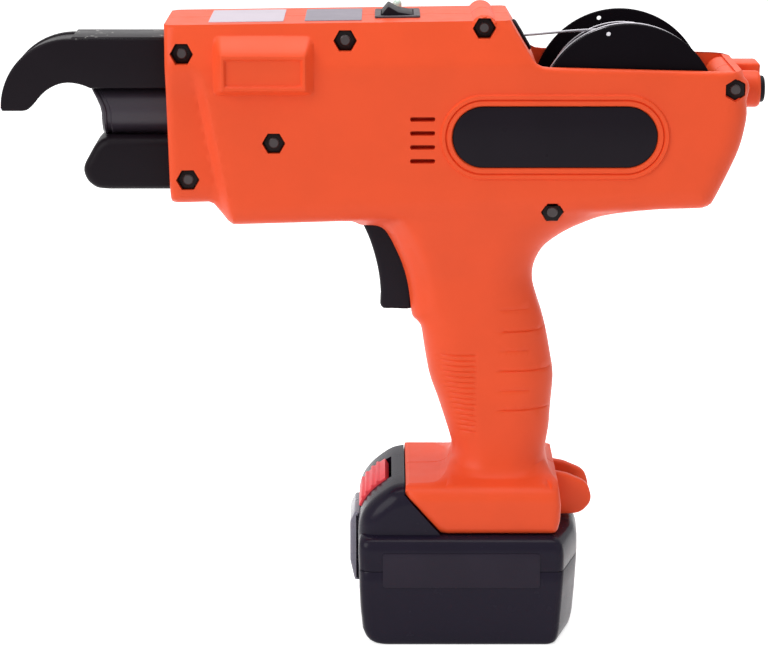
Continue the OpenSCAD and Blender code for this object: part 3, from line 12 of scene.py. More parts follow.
import bpy
import numpy as np
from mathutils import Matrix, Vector
from mathutils.geometry import delaunay_2d_cdt

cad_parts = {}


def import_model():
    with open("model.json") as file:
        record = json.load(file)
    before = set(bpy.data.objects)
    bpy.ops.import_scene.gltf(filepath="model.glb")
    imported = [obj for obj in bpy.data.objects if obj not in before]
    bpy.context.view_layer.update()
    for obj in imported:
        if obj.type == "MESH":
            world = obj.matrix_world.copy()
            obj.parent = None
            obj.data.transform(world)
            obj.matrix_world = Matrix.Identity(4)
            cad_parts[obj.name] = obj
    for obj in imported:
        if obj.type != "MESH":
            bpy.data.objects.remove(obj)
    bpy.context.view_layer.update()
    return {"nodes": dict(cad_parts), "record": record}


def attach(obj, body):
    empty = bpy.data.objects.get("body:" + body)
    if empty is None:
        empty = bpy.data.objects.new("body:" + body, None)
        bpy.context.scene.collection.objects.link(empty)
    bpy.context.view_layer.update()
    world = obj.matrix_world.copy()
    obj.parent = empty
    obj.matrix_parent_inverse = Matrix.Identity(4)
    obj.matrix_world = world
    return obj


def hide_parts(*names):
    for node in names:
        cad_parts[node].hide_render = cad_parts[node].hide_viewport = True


LOG = logging.getLogger("tying_tool")
MM = 0.001
Pair = tuple[float, float]
Triple = tuple[float, float, float]
Quad = tuple[float, float, float, float]
Points = Sequence[Pair]


class Side(Enum):
    """Which half of the tool a piece belongs to; the value is the sign of its Y."""

    NEAR = -1
    FAR = 1


class Body(Enum):
    """The moving bodies that shown pieces ride on."""

    HOUSING = "housing"
    TRIGGER = "trigger"
    ROCKER = "rocker"
    SPOOL = "spool"
    REAR_BUTTON = "rear_button"
    BATTERY = "battery"
    RELEASE = "release_button"


# Shader values and finishes


class Value:
    """One shader value; sums and products of these become Math nodes."""

    def __init__(self, graph: "Graph", socket: bpy.types.NodeSocket) -> None:
        """Keeps the graph and the output socket.

        Args:
            graph: the graph that the socket is in.
            socket: the output socket that gives the value.
        """
        self.graph = graph
        self.socket = socket

    def _math(self, operation: str, a: "Value | float", b: "Value | float") -> "Value":
        """Adds a Math node for two values or numbers."""
        return self.graph.node("ShaderNodeMath", {"operation": operation}, {0: a, 1: b})

    def __add__(self, other: "Value | float") -> "Value":
        """Adds a value or a number."""
        return self._math("ADD", self, other)

    def __radd__(self, other: float) -> "Value":
        """Adds a number on the left."""
        return self._math("ADD", other, self)

    def __sub__(self, other: "Value | float") -> "Value":
        """Takes a value or a number away."""
        return self._math("SUBTRACT", self, other)

    def __rsub__(self, other: float) -> "Value":
        """Takes the value away from a number."""
        return self._math("SUBTRACT", other, self)

    def __mul__(self, other: "Value | float") -> "Value":
        """Multiplies by a value or a number."""
        return self._math("MULTIPLY", self, other)

    def __rmul__(self, other: float) -> "Value":
        """Multiplies a number on the left."""
        return self._math("MULTIPLY", other, self)

    def between(self, low: float, high: float) -> "Value":
        """Maps low..high to a smooth 0..1.

        Args:
            low: the value that gives 0.
            high: the value that gives 1.

        Returns:
            The mapped value.
        """
        settings = {"interpolation_type": "SMOOTHSTEP"}
        inputs = {"Value": self, "From Min": low, "From Max": high}
        return self.graph.node("ShaderNodeMapRange", settings, inputs)


class Graph:
    """The node tree of one material or world, with one method that makes nodes."""

    def __init__(self, owner: bpy.types.Material | bpy.types.World) -> None:
        """Empties the owner's node tree.

        Args:
            owner: the new material or world.
        """
        owner.use_nodes = True
        self.owner = owner
        self.tree = owner.node_tree
        self.tree.nodes.clear()

    def seen(self) -> Value:
        """Tells the rays that see the background from those that only light the tool.

        Returns:
            1 for rays from the camera, off gloss and through glass, and 0 for others.
        """
        names = ("Is Camera Ray", "Is Glossy Ray", "Is Transmission Ray")
        camera, gloss, glass = [self.node("ShaderNodeLightPath", output=name) for name in names]
        return (camera + gloss + glass).between(0.0, 1.0)

    def node(
        self,
        kind: str,
        settings: dict[str, object] | None = None,
        inputs: dict[str | int, object] | None = None,
        output: str | int = 0,
    ) -> Value:
        """Makes a node.

        Args:
            kind: the node's type name.
            settings: attributes to set on the node.
            inputs: socket name or index to a Value that is linked, or a constant that is set.
            output: the output that is returned.

        Returns:
            The chosen output.
        """
        made = self.tree.nodes.new(kind)
        for key, setting in (settings or {}).items():
            setattr(made, key, setting)
        for key, given in (inputs or {}).items():
            if isinstance(given, Value):
                self.tree.links.new(given.socket, made.inputs[key])
            else:
                made.inputs[key].default_value = given
        return Value(self, made.outputs[output]) if len(made.outputs) else Value(self, made.inputs[0])

    def place(self) -> Value:
        """Returns the place on the piece, in metres in the row frame."""
        return self.node("ShaderNodeTexCoord", output="Object")

    def noise(self, scale: float, detail: float = 3.0, stretch: Triple = (1, 1, 1)) -> Value:
        """Makes a noise about the piece.

        Args:
            scale: how many blotches there are to a metre.
            detail: how fine it gets.
            stretch: factor on the scale along each axis.

        Returns:
            The noise, around 0.5.
        """
        spread = self.node("ShaderNodeMapping", inputs={"Vector": self.place(), "Scale": stretch})
        return self.node("ShaderNodeTexNoise", inputs={"Vector": spread, "Scale": scale, "Detail": detail})

    def mix(self, factor: Value, a: object, b: object) -> Value:
        """Blends two colours.

        Args:
            factor: 0 for a, 1 for b.
            a: a colour or a Value.
            b: a colour or a Value.

        Returns:
            The blend.
        """
        return self.node("ShaderNodeMix", {"data_type": "RGBA"}, {0: factor, 6: a, 7: b}, output=2)


def linear(colour: Triple) -> Quad:
    """Turns an sRGB colour of 0..255 into a linear one.

    Args:
        colour: red, green and blue, 0 to 255.

    Returns:
        Linear red, green, blue and an alpha of one.
    """
    parts = [c / 255 for c in colour]
    out = [c / 12.92 if c <= 0.04045 else ((c + 0.055) / 1.055) ** 2.4 for c in parts]
    return (out[0], out[1], out[2], 1.0)


# Scales of the noises, in features to a metre, and the ranges they are cut at
BLOTCH_SCALE = 45.0
BLOTCH_RANGE: Pair = (0.35, 0.65)
WEAR_SCALE = 160.0
WEAR_SHARE = 0.35
CHIP_SCALE = 420.0
CHIP_RANGE: Pair = (0.74, 0.76)
PATCH_SCALE = 60.0
PATCH_RANGE: Pair = (0.42, 0.5)
CHIP_RISE = 1.2
CHIP_ROUGHER = 0.2
COAT_ROUGHNESS = 0.08


@dataclass(frozen=True)
class Finish:
    """A surface finish.

    Attributes:
        slot: the record's material slot.
        colour: sRGB colour, 0 to 255.
        roughness: mean roughness.
        metallic: 1 for bare metal.
        coat: weight of a clear coat.
        mottle: how far the colour wanders.
        grain: height of the fine grain, in millimetres.
        grain_scale: grains to a metre.
        brushed: stretch of the grain along each axis.
        specular: strength of the mirror part.
        chips: share of the surface where a chip shows.
        chip_floor: height above which chips show, in millimetres.
        chip_colour: sRGB colour under a chip.
    """

    slot: str
    colour: Triple
    roughness: float
    metallic: float = 0.0
    coat: float = 0.0
    mottle: float = 0.05
    grain: float = 0.0
    grain_scale: float = 900.0
    brushed: Triple = (1, 1, 1)
    specular: float = 0.5
    chips: float = 0.0
    chip_floor: float = 0.0
    chip_colour: Triple = (150, 148, 145)

    def material(self, name: str) -> bpy.types.Material:
        """Builds the material.

        Args:
            name: its name.

        Returns:
            The material.
        """
        graph = Graph(bpy.data.materials.new(name))
        blotch = graph.noise(BLOTCH_SCALE, 4.0)
        base = linear(self.colour)
        dark = tuple(c * (1 - self.mottle) for c in base[:3]) + (1.0,)
        light = tuple(min(1.0, c * (1 + self.mottle)) for c in base[:3]) + (1.0,)
        colour = graph.mix(blotch.between(*BLOTCH_RANGE), dark, light)
        wear = graph.noise(WEAR_SCALE, 5.0, self.brushed) - 0.5
        rough = self.roughness + wear * (WEAR_SHARE * self.roughness)
        if self.chips:
            chip = self._chips(graph)
            colour = graph.mix(chip, colour, linear(self.chip_colour))
            rough = rough + chip * CHIP_ROUGHER
        inputs: dict[str | int, object] = {
            "Base Color": colour,
            "Roughness": rough,
            "Metallic": self.metallic,
            "Coat Weight": self.coat,
            "Coat Roughness": COAT_ROUGHNESS,
            "Specular IOR Level": self.specular,
        }
        if self.grain:
            height = graph.noise(self.grain_scale, 2.0, self.brushed)
            bump_inputs = {"Height": height, "Strength": 1.0, "Distance": self.grain * MM}
            inputs["Normal"] = graph.node("ShaderNodeBump", inputs=bump_inputs)
        surface = graph.node("ShaderNodeBsdfPrincipled", inputs=inputs)
        graph.node("ShaderNodeOutputMaterial", inputs={"Surface": surface})
        return graph.owner

    def _chips(self, graph: Graph) -> Value:
        """Scatters chips in patches above the chip floor.

        Args:
            graph: the material's graph.

        Returns:
            1 on a chip and 0 elsewhere.
        """
        low, high = CHIP_RANGE
        chip = graph.noise(CHIP_SCALE, 6.0).between(low - self.chips, high - self.chips)
        patch = graph.noise(PATCH_SCALE, 2.0).between(*PATCH_RANGE)
        level = graph.node("ShaderNodeSeparateXYZ", inputs={0: graph.place()}, output="Z")
        return chip * patch * level.between(self.chip_floor * MM, (self.chip_floor + CHIP_RISE) * MM)


# Height above which the paint of the upper jaw is chipped
JAW_TOP = 228.7

ORANGE = Finish(
    "shell_orange", (238, 84, 43), 0.42, mottle=0.02, grain=0.012, grain_scale=1500, specular=0.22
)
BLACK_PLASTIC = Finish("black_plastic", (24, 18, 26), 0.42, grain=0.01, grain_scale=1600, specular=0.1)
SPOOL_BLACK = Finish("black_plastic", (15, 11, 16), 0.4, grain=0.004, brushed=(1, 0.2, 1), specular=0.03)
PLATE_BLACK = Finish("black_plastic", (24, 18, 26), 0.3, coat=0.04, specular=0.07)
JAW_PAINT = Finish(
    "black_paint", (21, 15, 21), 0.42, grain=0.02, grain_scale=700, specular=0.09, chips=0.12,
    chip_floor=JAW_TOP,
)
# The jaw's black paint, lightened on the barrel: a painted sheen, a lit copy of that paint
BARREL_PAINTED_SHEEN = Finish("black_paint", (50, 44, 53), 0.34, grain=0.01, grain_scale=700, specular=0.3)
CORE_STEEL = Finish(
    "dark_steel", (27, 23, 28), 0.42, grain=0.01, specular=0.22, chips=0.12, chip_floor=JAW_TOP
)
BEZEL_GREY = Finish("black_plastic", (64, 56, 63), 0.42, grain=0.008, specular=0.3)
DARK_STEEL = Finish("dark_steel", (26, 20, 21), 0.4, metallic=0.3, specular=0.12)
BOLT_STEEL = Finish("steel", (64, 57, 58), 0.34, metallic=0.7)
STEEL = Finish("steel", (176, 176, 180), 0.34, metallic=1.0, grain=0.004, brushed=(0.2, 1, 1))
BRIGHT = Finish("bright_steel", (158, 155, 160), 0.34, metallic=1.0)
BRASS = Finish("brass", (206, 168, 92), 0.3, metallic=1.0)
WHITE_LABEL = Finish("label_white", (196, 184, 196), 0.4, mottle=0.03)
GREY_LABEL = Finish("label_white", (128, 120, 134), 0.4, mottle=0.06)
BATTERY_LABEL = Finish("label_grey", (38, 32, 45), 0.35, coat=0.04, specular=0.1)
LENS = Finish("lens_green", (206, 228, 214), 0.15, coat=0.5)
BOARD = Finish("circuit_board", (30, 110, 60), 0.45)
CELLS = Finish("cell_wrap", (50, 100, 170), 0.35)
GLOSS = Finish("battery_shell", (29, 24, 39), 0.26, coat=0.05, mottle=0.03, specular=0.08)
TAB = Finish("battery_shell", (112, 108, 124), 0.28, coat=0.2)
RED = Finish("button_red", (238, 64, 74), 0.4, grain=0.01, specular=0.35)

INNER_FINISHES: dict[str, Finish] = {
    finish.slot: finish
    for finish in (
        ORANGE, STEEL, BRIGHT, DARK_STEEL, JAW_PAINT, BLACK_PLASTIC, WHITE_LABEL, BATTERY_LABEL, LENS, BOARD,
        BRASS, GLOSS, CELLS, RED,
    )
}


# Meshes


@dataclass
class Mesh:
    """Vertices in millimetres in the row frame, and faces."""

    points: list[Triple] = field(default_factory=list)
    faces: list[tuple[int, ...]] = field(default_factory=list)

    def add(self, points: Sequence[Sequence[float]], faces: Sequence[Sequence[int]]) -> "Mesh":
        """Adds vertices and the faces between them.

        Args:
            points: new vertices.
            faces: faces by index into points.

        Returns:
            The mesh itself.
        """
        base = len(self.points)
        self.points += [tuple(float(c) for c in p) for p in points]
        self.faces += [tuple(base + i for i in f) for f in faces]
        return self

    def join(self, other: "Mesh") -> "Mesh":
        """Adds another mesh to this one and returns this one."""
        return self.add(other.points, other.faces)

    def mirrored(self) -> "Mesh":
        """Returns the mesh on the other side of the mid plane."""
        return Mesh([(x, -y, z) for x, y, z in self.points], [tuple(reversed(f)) for f in self.faces])

    def rings(self, rings: Sequence[Sequence[Triple]], closed: bool = True, caps: bool = True) -> "Mesh":
        """Adds a skin over a row of rings with the same number of points.

        Args:
            rings: the rings, in order.
            closed: join each ring's last point to its first.
            caps: close the first and last ring with a face.

        Returns:
            The mesh itself.
        """
        n = len(rings[0])
        span = n if closed else n - 1
        faces: list[tuple[int, ...]] = []
        for k in range(len(rings) - 1):
            for i in range(span):
                a, b = k * n + i, k * n + (i + 1) % n
                faces.append((a, b, b + n, a + n))
        if caps:
            faces.append(tuple(reversed(range(n))))
            faces.append(tuple(range((len(rings) - 1) * n, len(rings) * n)))
        return self.add([p for ring in rings for p in ring], faces)

    def show(
        self, name: str, finish: Finish, body: Body, replaced: Sequence[str] = (), sharp: float = 32.0
    ) -> None:
        """Makes the object that is shown.

        Args:
            name: the piece's name.
            finish: its finish.
            body: the body it rides on.
            replaced: CAD nodes it stands for.
            sharp: edges that bend by more than this many degrees stay sharp.
        """
        mesh = bpy.data.meshes.new(name)
        mesh.from_pydata([tuple(c * MM for c in p) for p in self.points], [], self.faces)
        mesh.validate()
        mesh.polygons.foreach_set("use_smooth", [True] * len(mesh.polygons))
        mesh.set_sharp_from_angle(angle=math.radians(sharp))
        mesh.materials.append(finish.material(name))
        piece = bpy.data.objects.new(name, mesh)
        bpy.context.scene.collection.objects.link(piece)
        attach(piece, body.value)
        if replaced:
            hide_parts(*replaced)
        LOG.info("%s: %d faces", name, len(mesh.polygons))


def rounded(corners: Sequence[Triple], steps: int = 6) -> list[Pair]:
    """Rounds the corners of a closed outline.

    Args:
        corners: x, z and rounding radius of each corner.
        steps: segments in each rounding.

    Returns:
        The outline's points.
    """
    out: list[Pair] = []
    n = len(corners)
    for i, (x, z, r) in enumerate(corners):
        if r <= 0:
            out.append((x, z))
            continue
        here = np.array((x, z))
        before = np.array(corners[i - 1][:2]) - here
        after = np.array(corners[(i + 1) % n][:2]) - here
        la, lb = np.linalg.norm(before), np.linalg.norm(after)
        before, after = before / la, after / lb
        half = math.acos(float(np.clip(before @ after, -1, 1))) / 2
        reach = min(r / math.tan(max(half, 1e-3)), 0.49 * la, 0.49 * lb)
        start, end = here + before * reach, here + after * reach
        for k in range(steps + 1):
            t = k / steps
            p = (1 - t) ** 2 * start + 2 * t * (1 - t) * here + t**2 * end
            out.append((float(p[0]), float(p[1])))
    return out


def arc(x: float, z: float, r: float, turns: Sequence[float]) -> list[Pair]:
    """Returns the places of a circle at some angles."""
    return [(x + r * math.cos(a), z + r * math.sin(a)) for a in turns]


def area(points: Points) -> float:
    """Measures a closed outline.

    Args:
        points: its corners.

    Returns:
        The area inside, negative for a clockwise outline.
    """
    p = np.array(points)
    q = np.roll(p, -1, axis=0)
    return float((p[:, 0] * q[:, 1] - q[:, 0] * p[:, 1]).sum() / 2)


def inset(points: Points, depth: float) -> list[Pair]:
    """Moves an outline inwards along its corners' bisectors.

    Args:
        points: a closed outline.
        depth: how far it moves in.

    Returns:
        As many points as were given.
    """
    p = np.array(points, float)
    sign = 1.0 if area(points) > 0 else -1.0
    ahead = np.roll(p, -1, axis=0) - p
    ahead /= np.maximum(np.linalg.norm(ahead, axis=1, keepdims=True), 1e-9)
    behind = np.roll(ahead, 1, axis=0)
    normal_a = np.stack((-ahead[:, 1], ahead[:, 0]), axis=1) * sign
    normal_b = np.stack((-behind[:, 1], behind[:, 0]), axis=1) * sign
    middle = normal_a + normal_b
    middle /= np.maximum((middle * normal_a).sum(axis=1, keepdims=True), 0.35)
    return [tuple(v) for v in (p + middle * depth)]


def prism(points: Points, y0: float, y1: float, edge: float, steps: int = 4) -> Mesh:
    """A plate across Y with rounded edges.

    Args:
        points: outline in X and Z.
        y0: lower end in Y.
        y1: upper end in Y.
        edge: rounding of the edges at both ends.
        steps: rings in a rounding.

    Returns:
        The closed mesh.
    """
    line = list(points) if area(points) < 0 else list(reversed(points))
    stations: list[Pair] = []
    for k in range(steps + 1):
        a = math.pi / 2 * k / steps
        stations.append((y0 + edge * (1 - math.sin(a)), edge * (1 - math.cos(a))))
    stations = sorted(stations) + [(y1 - (y - y0), d) for y, d in reversed(sorted(stations))]
    rings = [[(x, y, z) for x, z in inset(line, d)] for y, d in stations]
    return Mesh().rings(rings)


def lathe(profile: Points, place: Triple, axis: str, steps: int = 48) -> Mesh:
    """A turned piece.

    Args:
        profile: distance along the axis and radius, from one end to the other.
        place: where the axis starts.
        axis: "x", "y" or "z".
        steps: segments around.

    Returns:
        The mesh, closed where the profile starts and ends at radius zero or is a loop.
    """
    rings = []
    for along, r in profile:
        ring = []
        for i in range(steps):
            a = 2 * math.pi * i / steps
            u, v = r * math.cos(a), r * math.sin(a)
            offset = {"x": (along, u, v), "y": (v, along, u), "z": (u, v, along)}[axis]
            ring.append(tuple(place[k] + offset[k] for k in range(3)))
        rings.append(ring)
    return Mesh().rings(rings)


def tube(path: Sequence[Triple], r: float, sides: int = 10) -> Mesh:
    """A round wire along a path.

    Args:
        path: places along it.
        r: its radius.
        sides: segments around.

    Returns:
        The closed mesh.
    """
    p = np.array(path, float)
    tangent = np.gradient(p, axis=0)
    tangent /= np.maximum(np.linalg.norm(tangent, axis=1, keepdims=True), 1e-9)
    normal = np.cross(tangent[0], (0.3, 0.2, 0.93))
    rings = []
    for here, t in zip(p, tangent):
        normal = normal - t * (normal @ t)
        normal /= np.linalg.norm(normal)
        side = np.cross(t, normal)
        angles = [2 * math.pi * i / sides for i in range(sides)]
        rings.append([tuple(here + r * (math.cos(a) * normal + math.sin(a) * side)) for a in angles])
    return Mesh().rings(rings)


def smooth_line(points: Points, spacing: float) -> np.ndarray:
    """Draws a smooth curve through points and samples it.

    Args:
        points: places that the curve goes through.
        spacing: distance between samples.

    Returns:
        The samples, first and last point included.
    """
    p = np.array(points, float)
    p = np.vstack((2 * p[0] - p[1], p, 2 * p[-1] - p[-2]))
    out = []
    for i in range(1, len(p) - 2):
        a, b, c, d = p[i - 1 : i + 3]
        count = max(2, int(np.linalg.norm(c - b) / spacing))
        for t in np.linspace(0, 1, count, endpoint=False):
            square, cube = 2 * a - 5 * b + 4 * c - d, 3 * b - a - 3 * c + d
            out.append(0.5 * (2 * b + (c - a) * t + square * t**2 + cube * t**3))
    out.append(p[-2])
    return np.array(out)


def straight(points: Points, spacing: float) -> np.ndarray:
    """Samples a line of straight pieces.

    Args:
        points: its corners.
        spacing: distance between samples.

    Returns:
        The samples, corners included.
    """
    out = []
    for a, b in zip(points[:-1], points[1:]):
        a, b = np.array(a, float), np.array(b, float)
        count = max(1, int(np.ceil(np.linalg.norm(b - a) / spacing)))
        out += [a + (b - a) * k / count for k in range(count)]
    out.append(np.array(points[-1], float))
    return np.array(out)


def distance(p: np.ndarray, line: np.ndarray) -> np.ndarray:
    """Measures how far places lie from a line of straight pieces.

    Args:
        p: places in the plane.
        line: the corners of the line.

    Returns:
        The distance of each place.
    """
    best = np.full(len(p), 1e9)
    for a, b in zip(line[:-1], line[1:]):
        d = b - a
        t = np.clip(((p - a) @ d) / max(float(d @ d), 1e-12), 0, 1)
        best = np.minimum(best, np.linalg.norm(p - a - t[:, None] * d, axis=1))
    return best


def swell(t: np.ndarray) -> np.ndarray:
    """A quarter of a circle: 0 at t = 0, upright there, and 1 from t = 1 on."""
    return np.sqrt(1 - (1 - np.clip(t, 0, 1)) ** 2)


def step(t: np.ndarray) -> np.ndarray:
    """A smooth step from 0 at t = 0 to 1 at t = 1."""
    t = np.clip(t, 0, 1)
    return t * t * (3 - 2 * t)


def inside(p: np.ndarray, line: np.ndarray) -> np.ndarray:
    """Tells which places lie inside a closed line.

    Args:
        p: places in the plane.
        line: the corners of the line.

    Returns:
        True for each place inside.
    """
    out = np.zeros(len(p), bool)
    for a, b in zip(line, np.roll(line, -1, axis=0)):
        crosses = (a[1] > p[:, 1]) != (b[1] > p[:, 1])
        with np.errstate(divide="ignore", invalid="ignore"):
            at = a[0] + (p[:, 1] - a[1]) * (b[0] - a[0]) / (b[1] - a[1])
        out ^= crosses & (p[:, 0] < at)
    return out


def pierced(rims: Sequence[Points], y0: float, y1: float, edge: float) -> Mesh:
    """A flat plate with holes.

    Args:
        rims: the outer line and then the lines of its holes, in X and Z.
        y0: its first face.
        y1: its second face.
        edge: bevel of its outer edge.

    Returns:
        The closed mesh.
    """
    places = [Vector(q) for rim in rims for q in rim]
    starts = np.cumsum([0, *(len(rim) for rim in rims)])
    edges = []
    for start, rim in zip(map(int, starts), rims):
        edges += [(start + i, start + (i + 1) % len(rim)) for i in range(len(rim))]
    faces = delaunay_2d_cdt(places, edges, [], 0, 1e-6)[2]
    flat = np.array([tuple(q) for q in places])
    middle = np.array([flat[list(f)].mean(axis=0) for f in faces])
    keep = ~np.any([inside(middle, np.array(rim)) for rim in rims[1:]], axis=0)
    faces = [f for f, k in zip(faces, keep) if k]
    mesh = Mesh()
    outer = inset([tuple(q) for q in rims[0]], edge)
    moved = [*outer, *(q for rim in rims[1:] for q in rim)]
    for y in (y0, y1):
        mesh.add([(x, y, z) for x, z in moved], [tuple(f) for f in faces])
    levels = ((y0, outer), (y0 + edge, rims[0]), (y1 - edge, rims[0]), (y1, outer))
    mesh.rings([[(x, y, z) for x, z in line] for y, line in levels], caps=False)
    for rim in rims[1:]:
        mesh.rings([[(x, y, z) for x, z in rim] for y in (y0, y1)], caps=False)
    return mesh


# Housing


@dataclass(frozen=True)
class HousingSizes:
    """Sizes of the housing, in millimetres.

    Attributes:
        half_width: half the width of the head.
        top_half: half the width of its roof.
        shoulder: height of the slope between the two.
        nose_step: depth of the recess behind the nose.
        bay_half: half the width of the spool bay.
        handle_edge: half width of the grip at its front and rear.
        foot_half: half the width of the foot.
        spacing: distance between the places of the mesh.
        seam: depth of the groove between the halves.
        boss: radius of the hump around the rear bolt of the roof.
        nut: radius of a nut's pocket, over its corners.
        head_pocket: radius of a bolt head's pocket.
        pocket_depth: depth of those pockets below the bolt's pad.
        slot_half: half the width of the trigger's slot.
        bezel_half: half the width of the rocker's opening.
        rail_half: half the width of the battery's rail.
        vent_floor: half width at the floor of a vent.
        bulge_top: half width over the bulge.
        panel_depth: depth of the panel sunk into the bulge.
        bead: height of the inner bead round the plate.
        outer_bead: height of the outer one.
        hump_gap: distance from the hump to the next places of the roof.
        hump_half: half width over the hump.
        hump_fall: how far it falls at its edge.
        hump_edge: where that fall starts, how long it is, and how far the hump reaches.
        foot_round: rounding of the foot's lower rear corner.
        nut_depths: least and greatest depth of a nut under its pad.
        nut_covers: depth of a nut under the skin at its middle and at its rim.
        vent_half: half the height of a vent.
        vent_round: rounding of its corners.
    """

    half_width: float = 27.0
    top_half: float = 22.0
    shoulder: float = 15.5
    nose_step: float = 3.4
    bay_half: float = 24.2
    handle_edge: float = 5.5
    foot_half: float = 32.5
    spacing: float = 2.1
    seam: float = 0.28
    boss: float = 4.8
    nut: float = 4.35
    head_pocket: float = 3.65
    pocket_depth: float = 4.6
    slot_half: float = 6.8
    bezel_half: float = 9.8
    rail_half: float = 20.5
    vent_floor: float = 21.0
    bulge_top: float = 31.2
    panel_depth: float = 1.1
    bead: float = 0.8
    outer_bead: float = 0.9
    hump_gap: float = 0.4
    hump_half: float = 23.4
    hump_fall: float = 3.4
    hump_edge: Triple = (0.5, 0.8, 0.3)
    foot_round: float = 3.2
    nut_depths: Pair = (1.0, 4.0)
    nut_covers: Pair = (1.5, 0.25)
    vent_half: float = 0.85
    vent_round: float = 0.75


@dataclass(frozen=True)
class HeadForm:
    """How the head narrows towards its edges; a fall is a depth and the distance it takes.

    Attributes:
        floor: X and Z along the underside.
        low: fall at the underside.
        front: fall at the nose.
        rear: fall at the slope and the rim.
        soft: softness of the shoulder's upper edge.
        least: least half width.
        sink: how steeply the head ends below its underside.
        overlap: how far it goes past the underside before that.
        nose_x: front of the recess behind the nose.
        nose_share: share of its depth there.
        crease: X of the crease at its top, its lean, and the height it leans over.
        crease_top: height of its top.
        crease_width: width of its wall.
        crease_fade: height that it fades over.
        joint: reach and height of the soft joint to the grip.
    """

    floor: Points = (
        (-80.0, 161.2), (-56.4, 161.2), (-1.5, 162.6), (80.0, 165.8), (96.0, 166.2), (120.0, 167.4),
    )
    low: Pair = (7.0, 8.0)
    front: Pair = (2.6, 3.4)
    rear: Pair = (1.4, 2.2)
    soft: float = 0.003
    least: float = 8.0
    sink: float = 2.5
    overlap: float = 0.05
    nose_x: float = -80.0
    nose_share: float = 0.35
    crease: Triple = (-69.2, 11.0, 58.0)
    crease_top: float = 223.0
    crease_width: float = 4.0
    crease_fade: float = 14.0
    joint: Pair = (3.5, 0.9)


@dataclass(frozen=True)
class GripForm:
    """How the grip narrows towards its edges, and its grooves.

    Attributes:
        box: front, rear, lower and upper end.
        rise: what its edge gains upwards, from which height, over which height.
        flare: what its edge gains at the foot, below which height, over which height.
        rounds: reach of the rounding at its front and at its rear.
        cheek: depth of the cheek beside the trigger, its width and its edge.
        cheek_span: lower end of the cheek with its fade, and upper end with its fade.
        sink: how steeply it ends inside the head, and from which height.
        ribs: lowest level, pitch and rear end of the fine ribs.
        rib_count: how many there are.
        rib_gap: distance from the grip's front to their start.
        rib_cut: half width and depth of one.
        grooves: levels of the long grooves.
        groove_span: where they start, and where the short ones end.
        groove_gap: distance from the end of the others to the grip's rear.
        groove_half: half width of one.
        groove_depths: depth of a long and of a short one.
        fades: length of a groove's start and of its end.
        fade_share: share of its depth before its start.
    """

    box: Quad = (-12.6, 97.0, 60.0, 176.0)
    rise: Triple = (2.6, 112.0, 14.0)
    flare: Triple = (19.0, 66.6, 4.4)
    rounds: Pair = (14.0, 17.0)
    cheek: Triple = (1.3, 6.5, 2.6)
    cheek_span: Quad = (118.0, 7.0, 168.0, 9.0)
    sink: Pair = (1.2, 166.0)
    ribs: Triple = (79.6, 2.15, 35.4)
    rib_count: int = 15
    rib_gap: float = 3.0
    rib_cut: Pair = (0.5, 0.42)
    grooves: tuple[float, ...] = (88.1, 95.7, 103.5, 111.4, 118.9, 127.4)
    groove_span: Pair = (42.0, 56.0)
    groove_gap: float = 1.2
    groove_half: float = 0.55
    groove_depths: Pair = (0.55, 0.35)
    fades: Pair = (4.0, 1.2)
    fade_share: float = 0.05


@dataclass(frozen=True)
class FootForm:
    """How the foot narrows towards its edges, and the rail inside it.

    Attributes:
        box: front, rear and upper end.
        side_z: height below which its outline is rounded off.
        side_x: X behind which it is rounded off too.
        sides: fall of that rounding.
        top: depth of the rounding at the top, its height and its reach.
        open_to: X and Z that the foot is open to for the rail.
        rail: front, rear, lower and upper end of the rail's room.
        lip: half width and height of the lip under the rail.
        rear_x: rear of the closed part behind it.
    """

    box: Triple = (7.5, 67.6, 62.26)
    side_z: float = 58.7
    side_x: float = 40.0
    sides: Pair = (3.0, 3.0)
    top: Triple = (8.0, 62.2, 6.0)
    open_to: Pair = (66.0, 58.5)
    rail: Quad = (8.2, 62.4, 43.0, 59.5)
    lip: Pair = (17.4, 46.8)
    rear_x: float = 66.0


@dataclass(frozen=True)
class SlotForm:
    """The slot that the trigger swings in.

    Attributes:
        start: X and Z from which the skin is open for it.
        span: lower and upper height of its front edge.
        inset: how far that edge lies inside the skin.
        room: front, rear, lower and upper end.
        toes: lower end of its front wall, and front end of its floor.
    """

    start: Pair = (-12.4, 123.0)
    span: Pair = (122.0, 163.8)
    inset: float = 0.4
    room: Quad = (-12.0, 24.0, 121.6, 166.0)
    toes: Pair = (162.5, 13.2)


@dataclass(frozen=True)
class BayForm:
    """The spool bay.

    Attributes:
        wall: thickness of its wall at the tail.
        anchor: place over the bay that closes the tail's line.
        low: height from which the wall follows the tail.
        boss: heights between which the rear boss takes its place.
        ledge: X and Z of the ledge's inner edge.
        ledge_rim: height of the rim above that edge.
        corners: the front and floor of the bay, from the rim down.
        lip: the rim's rounding, on the bay's side.
    """

    wall: float = 2.6
    anchor: Pair = (96.0, 240.0)
    low: float = 171.0
    boss: Pair = (207.0, 218.0)
    ledge: Pair = (129.3, 218.8)
    ledge_rim: float = 219.06
    corners: Points = ((56.0, 221.6), (56.0, 168.9), (117.5, 169.6))
    lip: Points = ((60.5, 220.7), (58.0, 221.0))


@dataclass(frozen=True)
class PlateSeat:
    """The seat of the side plate.

    Attributes:
        wall: width of a bead's wall.
        beads: end of the inner bead, start and end of the outer one, from the plate's edge.
        depth: depth of the seat.
        gap: gap round the plate.
        gap_wall: width of the seat's wall.
    """

    wall: float = 0.5
    beads: Triple = (1.9, 2.3, 4.0)
    depth: float = 0.7
    gap: float = 0.1
    gap_wall: float = 0.3


# Places of two bolts in the housing's list: the rear one of the roof, and the one at the tail
ROOF_BOLT = 4
TAIL_BOLT = 6


